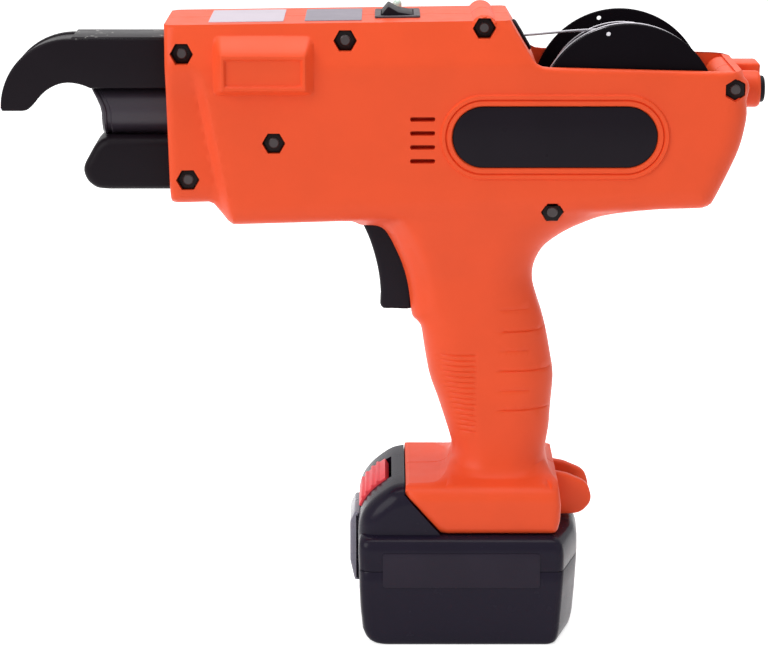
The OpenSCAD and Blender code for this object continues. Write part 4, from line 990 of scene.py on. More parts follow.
@dataclass
class Housing:
    """The two orange halves: each is a height field over the side view, with a skirt to the seam.

    Attributes:
        roof: the roof line; the next eight fields go on from its end, round the side view.
        slope, rim, tail, grip_rear: the lines down to the foot.
        foot, grip_front, belly, front: the lines from there up to the nose.
        bolts: X, Z and half width of each bolt's pad.
        half_widths: height and half width along the grip.
        roof_run: front, rear, height and rise of the roof under the controls.
        hump_turns: where the hump over the roof's rear bolt starts and ends.
        plate: middle, length and height of the side plate.
        bulge: front, rear, lower and upper end of the bulge.
        bulge_ramps: width of the bulge's ramps at those ends.
        bulge_power: how square the bulge's corners are.
        panel_margins: distance of the sunk panel from those ends.
        panel_edge: width of the panel's wall.
        bezel_room: front and rear of the rocker's opening.
        button_z: height of the rear button.
        vents: front, rear, highest level and pitch of the vents.
        vent_count: how many there are.
        tail_boss: the rear boss, as Y and radius.
        ear: X, Z and rounding of a strap ear's corners.
        ear_faces: Y of the near ear's two faces.
        barrel: the rear barrel, open for its button, as X and radius.
        lug: X, Z and rounding of the corners of the lug on the far side.
        lug_faces: Y of its two faces.
        strap_pin: X and Z of the strap's bar.
        strap_bar: its half length and radius.
        sizes: widths, depths and small sizes.
        head, grip, base, slot, bay, seat: forms of the head, grip, foot, trigger slot, bay and plate seat.
    """

    roof: Points = ((-80.7, 235.9), (46.2, 237.6))
    slope: Points = ((46.2, 237.6), (53.9, 224.6))
    rim: Points = (
        (53.9, 224.6), (54.9, 223.1), (56.3, 221.9), (58.0, 221.1), (60.5, 220.8), (131.8, 219.0),
    )
    tail: Points = (
        (131.8, 219.0), (132.5, 216.7), (134.1, 214.9), (134.6, 212.5), (134.1, 210.0), (133.7, 207.6),
        (134.0, 203.0), (133.3, 197.7), (131.9, 191.5), (129.3, 184.6), (123.0, 171.2), (121.2, 168.8),
        (118.4, 167.5), (104.0, 167.0), (96.0, 166.4),
    )
    grip_rear: Points = (
        (96.0, 166.4), (86.8, 164.4), (78.6, 161.0), (70.9, 157.7), (64.9, 154.2), (59.8, 149.8),
        (56.7, 143.4), (56.4, 137.0), (58.4, 129.1), (61.5, 119.2), (63.8, 107.3), (64.9, 99.3), (64.1, 87.2),
        (63.6, 79.0), (62.4, 71.0), (62.6, 66.6), (63.6, 63.6), (66.2, 62.0),
    )
    foot: Points = (
        (66.2, 62.0), (67.3, 54.0), (67.0, 48.0), (65.9, 43.0), (21.8, 43.0), (8.0, 58.6), (8.3, 61.3),
        (9.6, 62.0), (17.0, 62.05),
    )
    grip_front: Points = (
        (17.0, 62.05), (20.4, 62.25), (22.8, 62.9), (24.6, 64.2), (25.8, 66.6), (26.4, 70.6), (25.3, 75.6),
        (21.0, 89.2), (17.5, 99.3), (15.6, 109.3), (14.6, 116.0), (13.9, 119.3), (12.4, 121.2), (10.8, 123.0),
        (10.2, 126.7), (9.9, 129.9), (9.1, 135.4), (7.85, 140.6), (5.95, 145.8), (3.4, 151.3), (1.85, 154.2),
        (0.3, 156.4), (-1.9, 158.1), (-4.4, 158.9), (-7.4, 158.9), (-9.2, 159.6), (-10.6, 161.1),
        (-12.4, 162.4),
    )
    belly: Points = (
        (-12.4, 162.4), (-16.0, 162.4), (-56.4, 161.2), (-58.4, 162.3), (-63.6, 168.6), (-65.4, 169.3),
        (-79.2, 169.2),
    )
    front: Points = ((-79.2, 169.2), (-80.7, 235.9))
    bolts: tuple[Triple, ...] = (
        (-74.1, 225.6, 23.8), (-72.6, 178.8, 25.7), (-14.2, 230.4, 23.2), (-40.6, 192.9, 27.5),
        (36.7, 234.9, 22.1), (62.5, 166.7, 25.2), (128.8, 212.5, 25.4),
    )
    half_widths: Points = (
        (58, 24.5), (62.3, 23.8), (63.5, 22.0), (66, 20.4), (70, 19.3), (76, 18.5), (100, 18), (125, 18.2),
        (140, 19), (152, 21.5), (162, 24.2), (172, 25.5),
    )
    roof_run: Quad = (-80.7, 47.7, 235.9, 1.7)
    hump_turns: Pair = (2.581, 0.560)
    plate: Quad = (62.9, 195.3, 75.5, 22.8)
    bulge: Quad = (-62.6, -25.7, 210.7, 232.3)
    bulge_ramps: Quad = (3.4, 3.0, 2.4, 6.6)
    bulge_power: float = 2.6
    panel_margins: Quad = (4.2, 3.8, 3.4, 7.6)
    panel_edge: float = 0.9
    bezel_room: Pair = (-2.1, 12.1)
    button_z: float = 209.0
    vents: Quad = (9.6, 18.8, 201.9, 5.2)
    vent_count: int = 4
    tail_boss: Points = ((-20.0, 0.0), (-20.0, 5.6), (-0.35, 5.6), (0.0, 5.3), (0.0, 0.0))
    ear: tuple[Triple, ...] = (
        (64.0, 61.4, 0), (70.5, 60.2, 9.0), (78.8, 56.6, 6.5), (80.9, 49.2, 6.5), (76.2, 44.2, 6.5),
        (64.0, 43.6, 0),
    )
    ear_faces: Pair = (-10.0, -6.0)
    barrel: Points = (
        (128.0, 6.9), (139.6, 6.9), (140.4, 6.7), (140.9, 6.2), (140.9, 5.2), (131.0, 5.2), (131.0, 0.0),
    )
    lug: tuple[Triple, ...] = ((128.0, 207.5, 0), (142.4, 207.5, 2.6), (142.7, 217.3, 1.4), (128.0, 217.3, 0))
    lug_faces: Pair = (9.0, 22.0)
    strap_pin: Pair = (75.06, 52.5)
    strap_bar: Pair = (8.0, 2.0)
    sizes: HousingSizes = HousingSizes()
    head: HeadForm = HeadForm()
    grip: GripForm = GripForm()
    base: FootForm = FootForm()
    slot: SlotForm = SlotForm()
    bay: BayForm = BayForm()
    seat: PlateSeat = PlateSeat()

    def __post_init__(self) -> None:
        """Samples the outline once for both halves."""
        sizes = self.sizes
        s = sizes.spacing
        bolt_x, bolt_z, _ = self.bolts[ROOF_BOLT]
        hump = arc(bolt_x, bolt_z, sizes.boss, np.linspace(*self.hump_turns, 12))
        (x0, z0), (x1, z1) = self.roof

        def on_roof(x: float) -> Pair:
            """Returns the place on the roof line at an X."""
            return (x, z0 + (x - x0) / (x1 - x0) * (z1 - z0))

        gap = sizes.hump_gap
        ahead, behind = on_roof(hump[0][0] - gap), on_roof(hump[-1][0] + gap)
        roof = [self.roof[0], *map(on_roof, self.bezel_room), ahead, *hump, behind, self.roof[1]]
        foot = [(x, z, sizes.foot_round if (x, z) == self.foot[3] else 0) for x, z in self.foot]
        drawn = {
            "roof": roof, "slope": self.slope, "rim": self.rim, "tail": self.tail,
            "grip_rear": self.grip_rear, "foot": rounded(foot), "grip_front": self.grip_front,
            "belly": self.belly, "front": self.front,
        }
        self.lines = {}
        for kind, line in drawn.items():
            sampled = smooth_line if kind in ("tail", "grip_rear", "grip_front") else straight
            self.lines[kind] = sampled(line, s)
        self.outline = np.vstack([line[:-1] for line in self.lines.values()])
        self.kinds = [kind for kind, line in self.lines.items() for _ in range(len(line) - 1)]

    def roof_z(self, x: np.ndarray) -> np.ndarray:
        """Returns the height of the roof line, drawn on over the spool bay."""
        x0, x1, low, rise = self.roof_run
        return low + rise * (np.minimum(x, x1) - x0) / (x1 - x0)

    def crease_x(self, z: np.ndarray) -> np.ndarray:
        """Returns where the crease behind the nose lies at a height."""
        x, lean, tall = self.head.crease
        return x + lean * (self.head.crease_top - z) / tall

    @staticmethod
    def softened(share: np.ndarray) -> np.ndarray:
        """Returns a straight ramp with a little of a rounded one in it."""
        return 0.3 * step(share) + 0.7 * share

    @staticmethod
    def fall(p: np.ndarray, line: np.ndarray, size: Pair) -> np.ndarray:
        """How far a rounded edge falls.

        Args:
            p: places in X and Z.
            line: the edge.
            size: the fall at the edge, and the distance from it where the fall ends.

        Returns:
            The fall at each place.
        """
        depth, reach = size
        return depth * (1 - swell(distance(p, line) / reach))

    def height(self, p: np.ndarray, side: Side) -> np.ndarray:
        """The half width of the housing over the side view.

        Args:
            p: places in X and Z.
            side: which half, because only one has the bulge.

        Returns:
            The half width at each place.
        """
        x, z = p[:, 0], p[:, 1]
        sizes = self.sizes
        head = self._head(p)
        grip = self._grip(p)
        foot = self._foot(p)
        high = np.maximum(head, grip)
        near = np.minimum(head, grip)
        reach, rise = self.head.joint
        blend = np.clip(1 - (high - near) / reach, 0, 1) ** 2 * rise
        top = np.maximum(np.where(near > 0, high + blend, high), foot)
        bolt_x, bolt_z, _ = self.bolts[ROOF_BOLT]
        hump = np.hypot(x - bolt_x, z - bolt_z)
        start, long, margin = sizes.hump_edge
        edge = step((hump - sizes.boss + start) / long)
        raised = np.maximum(top, sizes.hump_half - sizes.hump_fall * edge)
        top = np.where(hump < sizes.boss + margin, raised, top)
        if side is Side.NEAR:
            top = self._bulged(p, top)
        top = self._ring(p, top)
        return self._grip_texture(p, top)

    def _bulged(self, p: np.ndarray, top: np.ndarray) -> np.ndarray:
        """Raises the bulge with its sunk panel.

        Args:
            p: places in X and Z.
            top: half width before.

        Returns:
            The half width with it.
        """
        x, z = p[:, 0], p[:, 1]
        x0, x1, z0, z1 = self.bulge
        front, rear, below, above = self.bulge_ramps
        ramps = ((x - x0) / front, (x1 - x) / rear, (z - z0) / below, (z1 - z) / above)
        power = self.bulge_power
        lack = np.sum([np.clip(1 - r, 0, 1) ** power for r in ramps], axis=0) ** (1 / power)
        share = self.softened(np.clip(1 - lack, 0, 1))
        front, rear, below, above = self.panel_margins
        depth = np.minimum.reduce((x - x0 - front, x1 - rear - x, z - z0 - below, z1 - above - z))
        panel = self.sizes.panel_depth * step(depth / self.panel_edge)
        return top + (self.sizes.bulge_top - top) * share - panel

    def _head(self, p: np.ndarray) -> np.ndarray:
        """The half width of the head alone.

        Args:
            p: places in X and Z.

        Returns:
            The half width, falling to 0 below the head.
        """
        x, z = p[:, 0], p[:, 1]
        sizes, form = self.sizes, self.head
        rest = 1 - (self.roof_z(x) - z) / sizes.shoulder
        fall_top = (sizes.half_width - sizes.top_half) * 0.5 * (rest + np.sqrt(rest * rest + form.soft))
        low = np.vstack((self.lines["tail"], [form.floor[3], form.floor[2]], self.lines["belly"]))
        fall_low = self.fall(p, low, form.low)
        fall_front = self.fall(p, self.lines["front"], form.front)
        fall_rear = self.fall(p, np.vstack((self.lines["slope"], self.lines["rim"])), form.rear)
        crease = self.crease_x(z)
        reach = np.clip((x - form.nose_x) / (crease - form.nose_x), 0, 1)
        wall = np.clip((crease - x) / form.crease_width + 0.5, 0, 1)
        fade = step((form.crease_top - z) / form.crease_fade)
        share = form.nose_share + (1 - form.nose_share) * reach
        nose = sizes.nose_step * fade * share * self.softened(wall)
        out = sizes.half_width - fall_top - fall_low - fall_front - fall_rear - nose
        below = np.maximum(np.interp(x, *zip(*form.floor)) - form.overlap - z, 0)
        sunk = np.maximum(sizes.half_width - form.low[0] - form.sink * below, 0.0)
        return np.where(below > 0, sunk, np.maximum(out, form.least))

    def _grip(self, p: np.ndarray) -> np.ndarray:
        """The half width of the grip alone.

        Args:
            p: places in X and Z.

        Returns:
            The half width, 0 away from the grip.
        """
        x, z = p[:, 0], p[:, 1]
        form = self.grip
        rise, rise_z, rise_run = form.rise
        flare, flare_z, flare_run = form.flare
        edge = self.sizes.handle_edge + rise * step((z - rise_z) / rise_run)
        edge = edge + flare * np.clip((flare_z - z) / flare_run, 0, 1) ** 2
        half = np.maximum(np.interp(z, *zip(*self.half_widths)), edge)
        rear = distance(p, self.lines["grip_rear"])
        ahead = distance(p, self.lines["grip_front"])
        at_front, at_rear = (1 - swell(far / reach) for far, reach in zip((ahead, rear), form.rounds))
        out = half - (half - edge) * at_front - (half - edge) * at_rear
        depth, width, ramp = form.cheek
        low, low_fade, high, high_fade = form.cheek_span
        cheek = depth * (1 - step((ahead - width) / ramp))
        out = out - cheek * step((z - low) / low_fade) * step((high - z) / high_fade)
        x0, x1, z0, z1 = form.box
        within = (z > z0) & (z < z1) & (x > x0) & (x < x1)
        sink, sink_z = form.sink
        return np.where(within, np.maximum(out, edge) - sink * np.maximum(z - sink_z, 0), 0.0)

    def _foot(self, p: np.ndarray) -> np.ndarray:
        """The half width of the foot alone.

        Args:
            p: places in X and Z.

        Returns:
            The half width, 0 above the foot.
        """
        x, z = p[:, 0], p[:, 1]
        line = self.lines["foot"]
        form = self.base
        sides = line[(line[:, 1] < form.side_z) | (line[:, 0] > form.side_x)]
        edge = self.sizes.foot_half - self.fall(p, sides, form.sides)
        depth, level, reach = form.top
        over = depth * (1 - swell((level - z) / reach))
        x0, x1, z1 = form.box
        within = (z < z1) & (x > x0) & (x < x1)
        return np.where(within, edge - over, 0.0)

    def _ring(self, p: np.ndarray, top: np.ndarray) -> np.ndarray:
        """Adds the two beads round the side plate.

        Args:
            p: places in X and Z.
            top: half width before.

        Returns:
            The half width with them.
        """
        cx, cz, length, height = self.plate
        run = np.abs(p[:, 0] - cx) - (length - height) / 2
        r = np.hypot(np.maximum(run, 0), p[:, 1] - cz)
        edge, seat = height / 2, self.seat
        walls = [step((r - edge - at) / seat.wall) for at in (0.0, *seat.beads)]
        rise = self.sizes.bead * (walls[0] - walls[1])
        outer = self.sizes.outer_bead * (walls[2] - walls[3])
        return top + rise + outer - seat.depth * step((edge + seat.gap - r) / seat.gap_wall)

    def _grooves(self) -> list[tuple[float, float, float, float, float]]:
        """Lists the grooves round the grip.

        Returns:
            Level, front, rear, half width and depth of each.
        """
        front = self.lines["grip_front"]
        rear = self.lines["grip_rear"][::-1]
        out = []
        form = self.grip
        lowest, pitch, ribs_end = form.ribs
        for k in range(form.rib_count):
            z = lowest + pitch * k
            start = float(np.interp(z, front[:, 1], front[:, 0])) + form.rib_gap
            out.append((z, start, ribs_end, *form.rib_cut))
        start, short_end = form.groove_span
        for k, z in enumerate(form.grooves):
            long_end = float(np.interp(z, rear[:, 1], rear[:, 0])) - form.groove_gap
            end = short_end if k % 2 else long_end
            out.append((z, start, end, form.groove_half, form.groove_depths[k % 2]))
        return out

    def _grip_texture(self, p: np.ndarray, top: np.ndarray) -> np.ndarray:
        """Cuts the grooves of the grip.

        Args:
            p: places in X and Z.
            top: half width before.

        Returns:
            The half width with them.
        """
        x, z = p[:, 0], p[:, 1]
        (start, end), share = self.grip.fades, self.grip.fade_share
        for level, x0, x1, half, depth in self._grooves():
            long = step((x - x0) / start + share) * step((x1 - x) / end + share)
            top = top - depth * long * np.maximum(0, 1 - np.abs(z - level) / half)
        return top

    def _contours(self, side: Side) -> list[tuple[np.ndarray, bool]]:
        """Lines that the surface must follow.

        Args:
            side: which half.

        Returns:
            Each line with whether it closes.
        """
        out: list[tuple[np.ndarray, bool]] = []
        crease_shifts = (-2.0, -0.7, 0.7, 2.0)
        shoulder_levels, shoulder_ends, drop = (219.6, 221.0, 222.4), (-23.0, 52.0), 1.2
        foot_levels, foot_ends = (60.9, 61.75, 62.3, 62.9), (26.6, 61.5)
        plate_margins = (-0.2, 0.05, 0.5, 1.95, 2.3, 2.8, 4.0, 4.5)
        z = np.linspace(166.5, 220.5, 34)
        for shift in crease_shifts:
            out.append((np.stack((self.crease_x(z) + shift, z), axis=1), False))
        x0, x1 = shoulder_ends
        for level in shoulder_levels:
            out.append((straight([(x0, level), (x1, level - drop)], 1.8), False))
        x0, x1 = foot_ends
        for level in foot_levels:
            out.append((straight([(x0, level), (x1, level)], 1.6), False))
        for level, x0, x1, half, _ in self._grooves():
            for shift in (-half, 0.0, half):
                out.append((straight([(x0, level + shift), (x1, level + shift)], 1.6), False))
        cx, cz, length, height = self.plate
        for grow in plate_margins:
            r = height / 2 + grow
            ends = [(cx + s * (length - height) / 2, s) for s in (1, -1)]
            turns = np.linspace(-math.pi / 2, math.pi / 2, 28)
            loop = [(ex + s * r * math.cos(a), cz + s * r * math.sin(a)) for ex, s in ends for a in turns]
            out.append((straight([*loop, loop[0]], 3.0)[:-1], True))
        if side is Side.NEAR:
            x0, x1, z0, z1 = self.bulge
            r = 0.8
            floor = [margin + self.panel_edge for margin in self.panel_margins]
            for a, b, c, d in ((0, 0, 0, 0), self.bulge_ramps, self.panel_margins, floor):
                box = [(x0 + a, z0 + c, r), (x1 - b, z0 + c, r), (x1 - b, z1 - d, r), (x0 + a, z1 - d, r)]
                loop = rounded(box, 4)
                out.append((straight([*loop, loop[0]], 2.0)[:-1], True))
        return out

    @staticmethod
    def nut_turn(index: int) -> float:
        """Returns how far a nut is turned; the one at the tail stands on a corner."""
        return math.pi / 6 if index == TAIL_BOLT else 0.0

    def nut_face(self, index: int) -> float:
        """How far from the mid plane a nut or a bolt head ends.

        Args:
            index: which bolt.

        Returns:
            The distance, low enough for the front ones to lie inside their pockets.
        """
        x, z, pad = self.bolts[index]
        least, most = self.sizes.nut_depths
        if index > ROOF_BOLT:
            return pad - least
        rim = arc(x, z, self.sizes.nut, np.arange(6) * math.pi / 3)
        tops = self.height(np.array([(x, z), *rim]), Side.FAR)
        middle, edge = self.sizes.nut_covers
        return float(np.clip(min(tops[0] - middle, tops.min() - edge), pad - most, pad - least))

    def _pockets(self, side: Side) -> list[tuple[np.ndarray, float]]:
        """Outlines of the holes in the skin.

        Args:
            side: which half.

        Returns:
            Each outline with the half width of its floor.
        """
        out: list[tuple[np.ndarray, float]] = []
        for i, (x, z, pad) in enumerate(self.bolts):
            sides = 6 if side is Side.NEAR else 20
            r = self.sizes.nut if side is Side.NEAR else self.sizes.head_pocket
            turns = [self.nut_turn(i) + 2 * math.pi * k / sides for k in range(sides)]
            ring = arc(x, z, r, turns)
            out.append((straight([*ring, ring[0]], 1.6)[:-1], pad - self.sizes.pocket_depth))
        x0, x1, highest, pitch = self.vents
        half, r = self.sizes.vent_half, self.sizes.vent_round
        for k in range(self.vent_count):
            z = highest - pitch * k
            slot = rounded([(x0, z - half, r), (x1, z - half, r), (x1, z + half, r), (x0, z + half, r)], 3)
            out.append((np.array(slot), self.sizes.vent_floor))
        return out

    def skin(self, side: Side) -> Mesh:
        """Builds the outer skin of one half with its holes, skirt and bay.

        Args:
            side: which half.

        Returns:
            The mesh on the near side of the mid plane.
        """
        pockets = self._pockets(side)
        n = len(self.outline)
        places = [*self.outline]
        edges = [(i, (i + 1) % n) for i in range(n)]
        for line, closed in self._contours(side):
            base = len(places)
            places += [*line]
            edges += [(base + i, base + i + 1) for i in range(len(line) - 1)]
            if closed:
                edges.append((base + len(line) - 1, base))
        holes = []
        for line, _ in pockets:
            base = len(places)
            places += [*line]
            edges += [(base + i, base + (i + 1) % len(line)) for i in range(len(line))]
            holes.append(line)
        places += self._filling(holes)
        net = delaunay_2d_cdt([Vector(p) for p in places], edges, [list(range(n))], 1, 1e-5)
        verts, faces = net[0], net[2]
        p = np.array([tuple(v) for v in verts])
        middle = np.array([p[list(f)].mean(axis=0) for f in faces])
        keep = np.ones(len(faces), bool)
        for line in holes:
            keep &= ~inside(middle, line)
        h = self.height(p, side)
        faces = [tuple(f) for f, k in zip(faces, keep) if k]
        mesh = Mesh().add(np.stack((p[:, 0], -h, p[:, 1]), axis=1), faces)
        edge_h = self.height(self.outline, side)
        mesh.join(self._skirt(edge_h)).join(self._bay()).join(self._slots())
        for line, floor in pockets:
            top = self.height(line, side)
            rings = [[(x, -y, z) for (x, z), y in zip(line, top)], [(x, -floor, z) for x, z in line]]
            walls = Mesh().rings(rings, caps=False)
            walls.faces.append(tuple(range(len(line), 2 * len(line))))
            mesh.join(walls)
        return mesh

    def _filling(self, holes: Sequence[np.ndarray]) -> list[np.ndarray]:
        """Places inside the outline: rings near the edge, a grid, and a finer grid on the bulge.

        Args:
            holes: outlines to stay clear of.

        Returns:
            The places.
        """
        closed = np.vstack((self.outline, self.outline[:1]))
        inward = self._inward()
        depths, clear_share, hole_gap = (0.12, 0.45, 1.0, 1.8, 2.8, 4.2, 6.0), 0.93, 0.5
        grid_gap, fine_gap, past = 6.6, 1.5, 0.5
        sets = []
        for depth in depths:
            ring = self.outline + inward * depth
            good = (distance(ring, closed) > clear_share * depth) & inside(ring, self.outline)
            sets.append(ring[good])
        s = self.sizes.spacing
        rows = enumerate(np.arange(43.0, 237.0, s * 0.87))
        grid = np.array([(x + (k % 2) * s / 2, z) for k, z in rows for x in np.arange(-80.0, 134.0, s)])
        x0, x1, z0, z1 = self.bulge
        across, up = np.arange(x0 - past, x1 + past, 0.85), np.arange(z0 - past, z1 + past, 0.7)
        fine = np.array([(x, z) for z in up for x in across])
        for block, gap in ((grid, grid_gap), (fine, fine_gap)):
            block = block[inside(block, self.outline)]
            sets.append(block[distance(block, closed) > gap])
        everything = np.vstack(sets)
        keep = np.ones(len(everything), bool)
        for line in holes:
            keep &= distance(everything, np.vstack((line, line[:1]))) > hole_gap
        return [*everything[keep]]

    def _inward(self) -> np.ndarray:
        """Returns the direction into the housing at each place of the outline."""
        ahead = np.roll(self.outline, -1, axis=0) - np.roll(self.outline, 1, axis=0)
        ahead /= np.linalg.norm(ahead, axis=1, keepdims=True)
        return np.stack((ahead[:, 1], -ahead[:, 0]), axis=1)

    def _skirt(self, edge_h: np.ndarray) -> Mesh:
        """The faces from the skin's edge to the seam, left open where other pieces go in.

        Args:
            edge_h: half width at each place of the outline.

        Returns:
            The faces on the near side.
        """
        mesh = Mesh()
        n = len(self.outline)
        seam = self.sizes.seam
        groove = self.outline + self._inward() * seam
        for i in range(n):
            j = (i + 1) % n
            a, b = self.outline[i], self.outline[j]
            stop = self._stop(self.kinds[i], (a + b) / 2)
            rows = [(a, b, edge_h[i], edge_h[j])]
            if stop:
                rows.append((a, b, min(stop, edge_h[i] - 0.3), min(stop, edge_h[j] - 0.3)))
            else:
                rows.append((a, b, seam, seam))
                rows.append((groove[i], groove[j], 0.0, 0.0))
            points = [q for u, v, hu, hv in rows for q in ((u[0], -hu, u[1]), (v[0], -hv, v[1]))]
            mesh.add(points, [(2 * k + 1, 2 * k, 2 * k + 2, 2 * k + 3) for k in range(len(rows) - 1)])
        return mesh

    def _stop(self, kind: str, middle: np.ndarray) -> float:
        """Tells how far the skirt goes.

        Args:
            kind: which line of the outline.
            middle: a place on it.

        Returns:
            Half width where the skirt ends short of the seam, or 0 where it closes.
        """
        x, z = middle
        if kind == "rim":
            return self.sizes.bay_half
        if kind == "roof" and self.bezel_room[0] < x < self.bezel_room[1]:
            return self.sizes.bezel_half
        if kind in ("grip_front", "belly") and x > self.slot.start[0] and z > self.slot.start[1]:
            return self.sizes.slot_half
        if kind == "foot" and x < self.base.open_to[0] and z < self.base.open_to[1]:
            return self.sizes.rail_half
        return 0.0

    def _bay(self) -> Mesh:
        """Builds the inside of the spool bay and its ledge at the tail.

        Returns:
            The faces on the near side.
        """
        half, form = self.sizes.bay_half, self.bay
        tail = [*map(tuple, self.lines["tail"])]
        inner = inset([*tail, form.anchor], form.wall)[: len(tail)]
        low, high = form.boss
        inner = [(x, z) for x, z in inner if z > form.low and not low < z < high]
        inner[0] = form.ledge
        line = [self.rim[0], *form.corners, *reversed(inner)]
        mesh = Mesh().rings([[(x, y, z) for x, z in line] for y in (-half, 0.0)], closed=False, caps=False)
        side = [*line[1:], *form.lip]
        mesh.add([(x, -half, z) for x, z in side], [tuple(range(len(side)))])
        (x0, z0), (x1, z1) = self.rim[-1], form.ledge
        outer = -self.height(np.array([(x0, z0), (x1, form.ledge_rim)]), Side.FAR)
        ledge = [(x0, outer[0], z0), (x0, 0, z0), (x1, 0, z1), (x1, outer[1], z1)]
        return mesh.add(ledge, [(0, 1, 2, 3)])

    def _slots(self) -> Mesh:
        """Builds the inside of the battery's rail and of the trigger's slot.

        Returns:
            The faces on the near side.
        """
        mesh = Mesh()
        half = self.sizes.rail_half
        start, end, low, high = self.base.rail
        lip_half, lip = self.base.lip
        rear = self.base.rear_x
        rail = [(-half, low), (-lip_half, low), (-lip_half, lip), (-half, lip), (-half, high), (0.0, high)]
        mesh.rings([[(x, y, z) for y, z in rail] for x in (start, end)], closed=False, caps=False)
        mesh.add([(end, -half, low), (end, 0, low), (end, 0, high), (end, -half, high)], [(0, 1, 2, 3)])
        mesh.add([(end, -half, low), (rear, -half, low), (rear, 0, low), (end, 0, low)], [(0, 1, 2, 3)])
        slot, form = self.sizes.slot_half, self.slot
        low, high = form.span
        edge = [(x + form.inset, z) for x, z in self.lines["grip_front"] if low < z < high]
        x0, x1, z0, z1 = form.room
        toe_z, toe_x = form.toes
        back = [(x0, z1), (x1, z1), (x1, z0), (toe_x, z0)]
        wall = [(x, -slot, z) for x, z in [*edge, *back]]
        mesh.add(wall, [tuple(range(len(wall)))])
        ends = [(x0, toe_z), *back]
        mesh.rings([[(x, y, z) for x, z in ends] for y in (-slot, 0.0)], closed=False, caps=False)
        return mesh

    def bosses(self) -> Mesh:
        """Builds the rear boss inside the bay and the strap ear.

        Returns:
            The mesh on the near side.
        """
        x, z, _ = self.bolts[TAIL_BOLT]
        mesh = lathe(self.tail_boss, (x, 0, z), "y")
        return mesh.join(prism(rounded(self.ear, 8), *self.ear_faces, 1.2))

    def show(self) -> None:
        """Shows both halves, the ears, the barrel and the lug."""
        body = Body.HOUSING
        near = self.skin(Side.NEAR).join(self.bosses())
        near.show("shell_near", ORANGE, body, ["housing_left"], 34.0)
        far = self.skin(Side.FAR).join(self.bosses()).mirrored()
        far.join(prism(rounded(self.lug, 4), *self.lug_faces, 1.0))
        far.show("shell_far", ORANGE, body, ["housing_right"], 34.0)
        lathe(self.barrel, (0, 0, self.button_z), "x", 40).show("rear_barrel", ORANGE, body)
        (x, z), (half, r) = self.strap_pin, self.strap_bar
        bar = [(-half, 0.0), (-half, r), (half, r), (half, 0.0)]
        lathe(bar, (x, 0, z), "y", 24).show("strap_pin", STEEL, body, ["strap_bar"])


# Fasteners, plates and controls on the housing


@dataclass
class Fasteners:
    """Nuts on the near side, bolt heads on the far side.

    Attributes:
        housing: the housing they sit in.
        nut_radius: radius of a nut over its corners.
        nut_height: height of a nut.
        nut_edge: rounding of its edges.
        end: a bolt's end, as distance behind the nut's face and radius.
        head: a bolt's head with its socket, as distance from its face and radius.
    """

    housing: Housing
    nut_radius: float = 4.0
    nut_height: float = 3.2
    nut_edge: float = 0.35
    end: Points = ((-0.6, 0.0), (-0.6, 1.6), (-0.3, 2.0), (1.0, 2.0), (1.0, 0.0))
    head: Points = ((-4.0, 0.0), (-4.0, 3.4), (-0.4, 3.4), (0.0, 3.0), (0.0, 1.6), (-1.8, 1.6), (-1.8, 0.0))

    def show(self) -> None:
        """Shows the nuts and the bolts."""
        nuts, bolts = Mesh(), Mesh()
        for i, (x, z, _) in enumerate(self.housing.bolts):
            turns = [self.housing.nut_turn(i) + k * math.pi / 3 for k in range(6)]
            hexagon = arc(x, z, self.nut_radius, turns)
            far = self.housing.nut_face(i)
            nuts.join(prism(hexagon, -far, -far + self.nut_height, self.nut_edge, 2))
            bolts.join(lathe([(along - far, wide) for along, wide in self.end], (x, 0, z), "y", 20))
            bolts.join(lathe([(along + far, wide) for along, wide in self.head], (x, 0, z), "y", 24))
        nuts.show("nuts", DARK_STEEL, Body.HOUSING, ["housing_nuts"])
        bolts.show("bolts", BOLT_STEEL, Body.HOUSING, ["housing_bolts"])


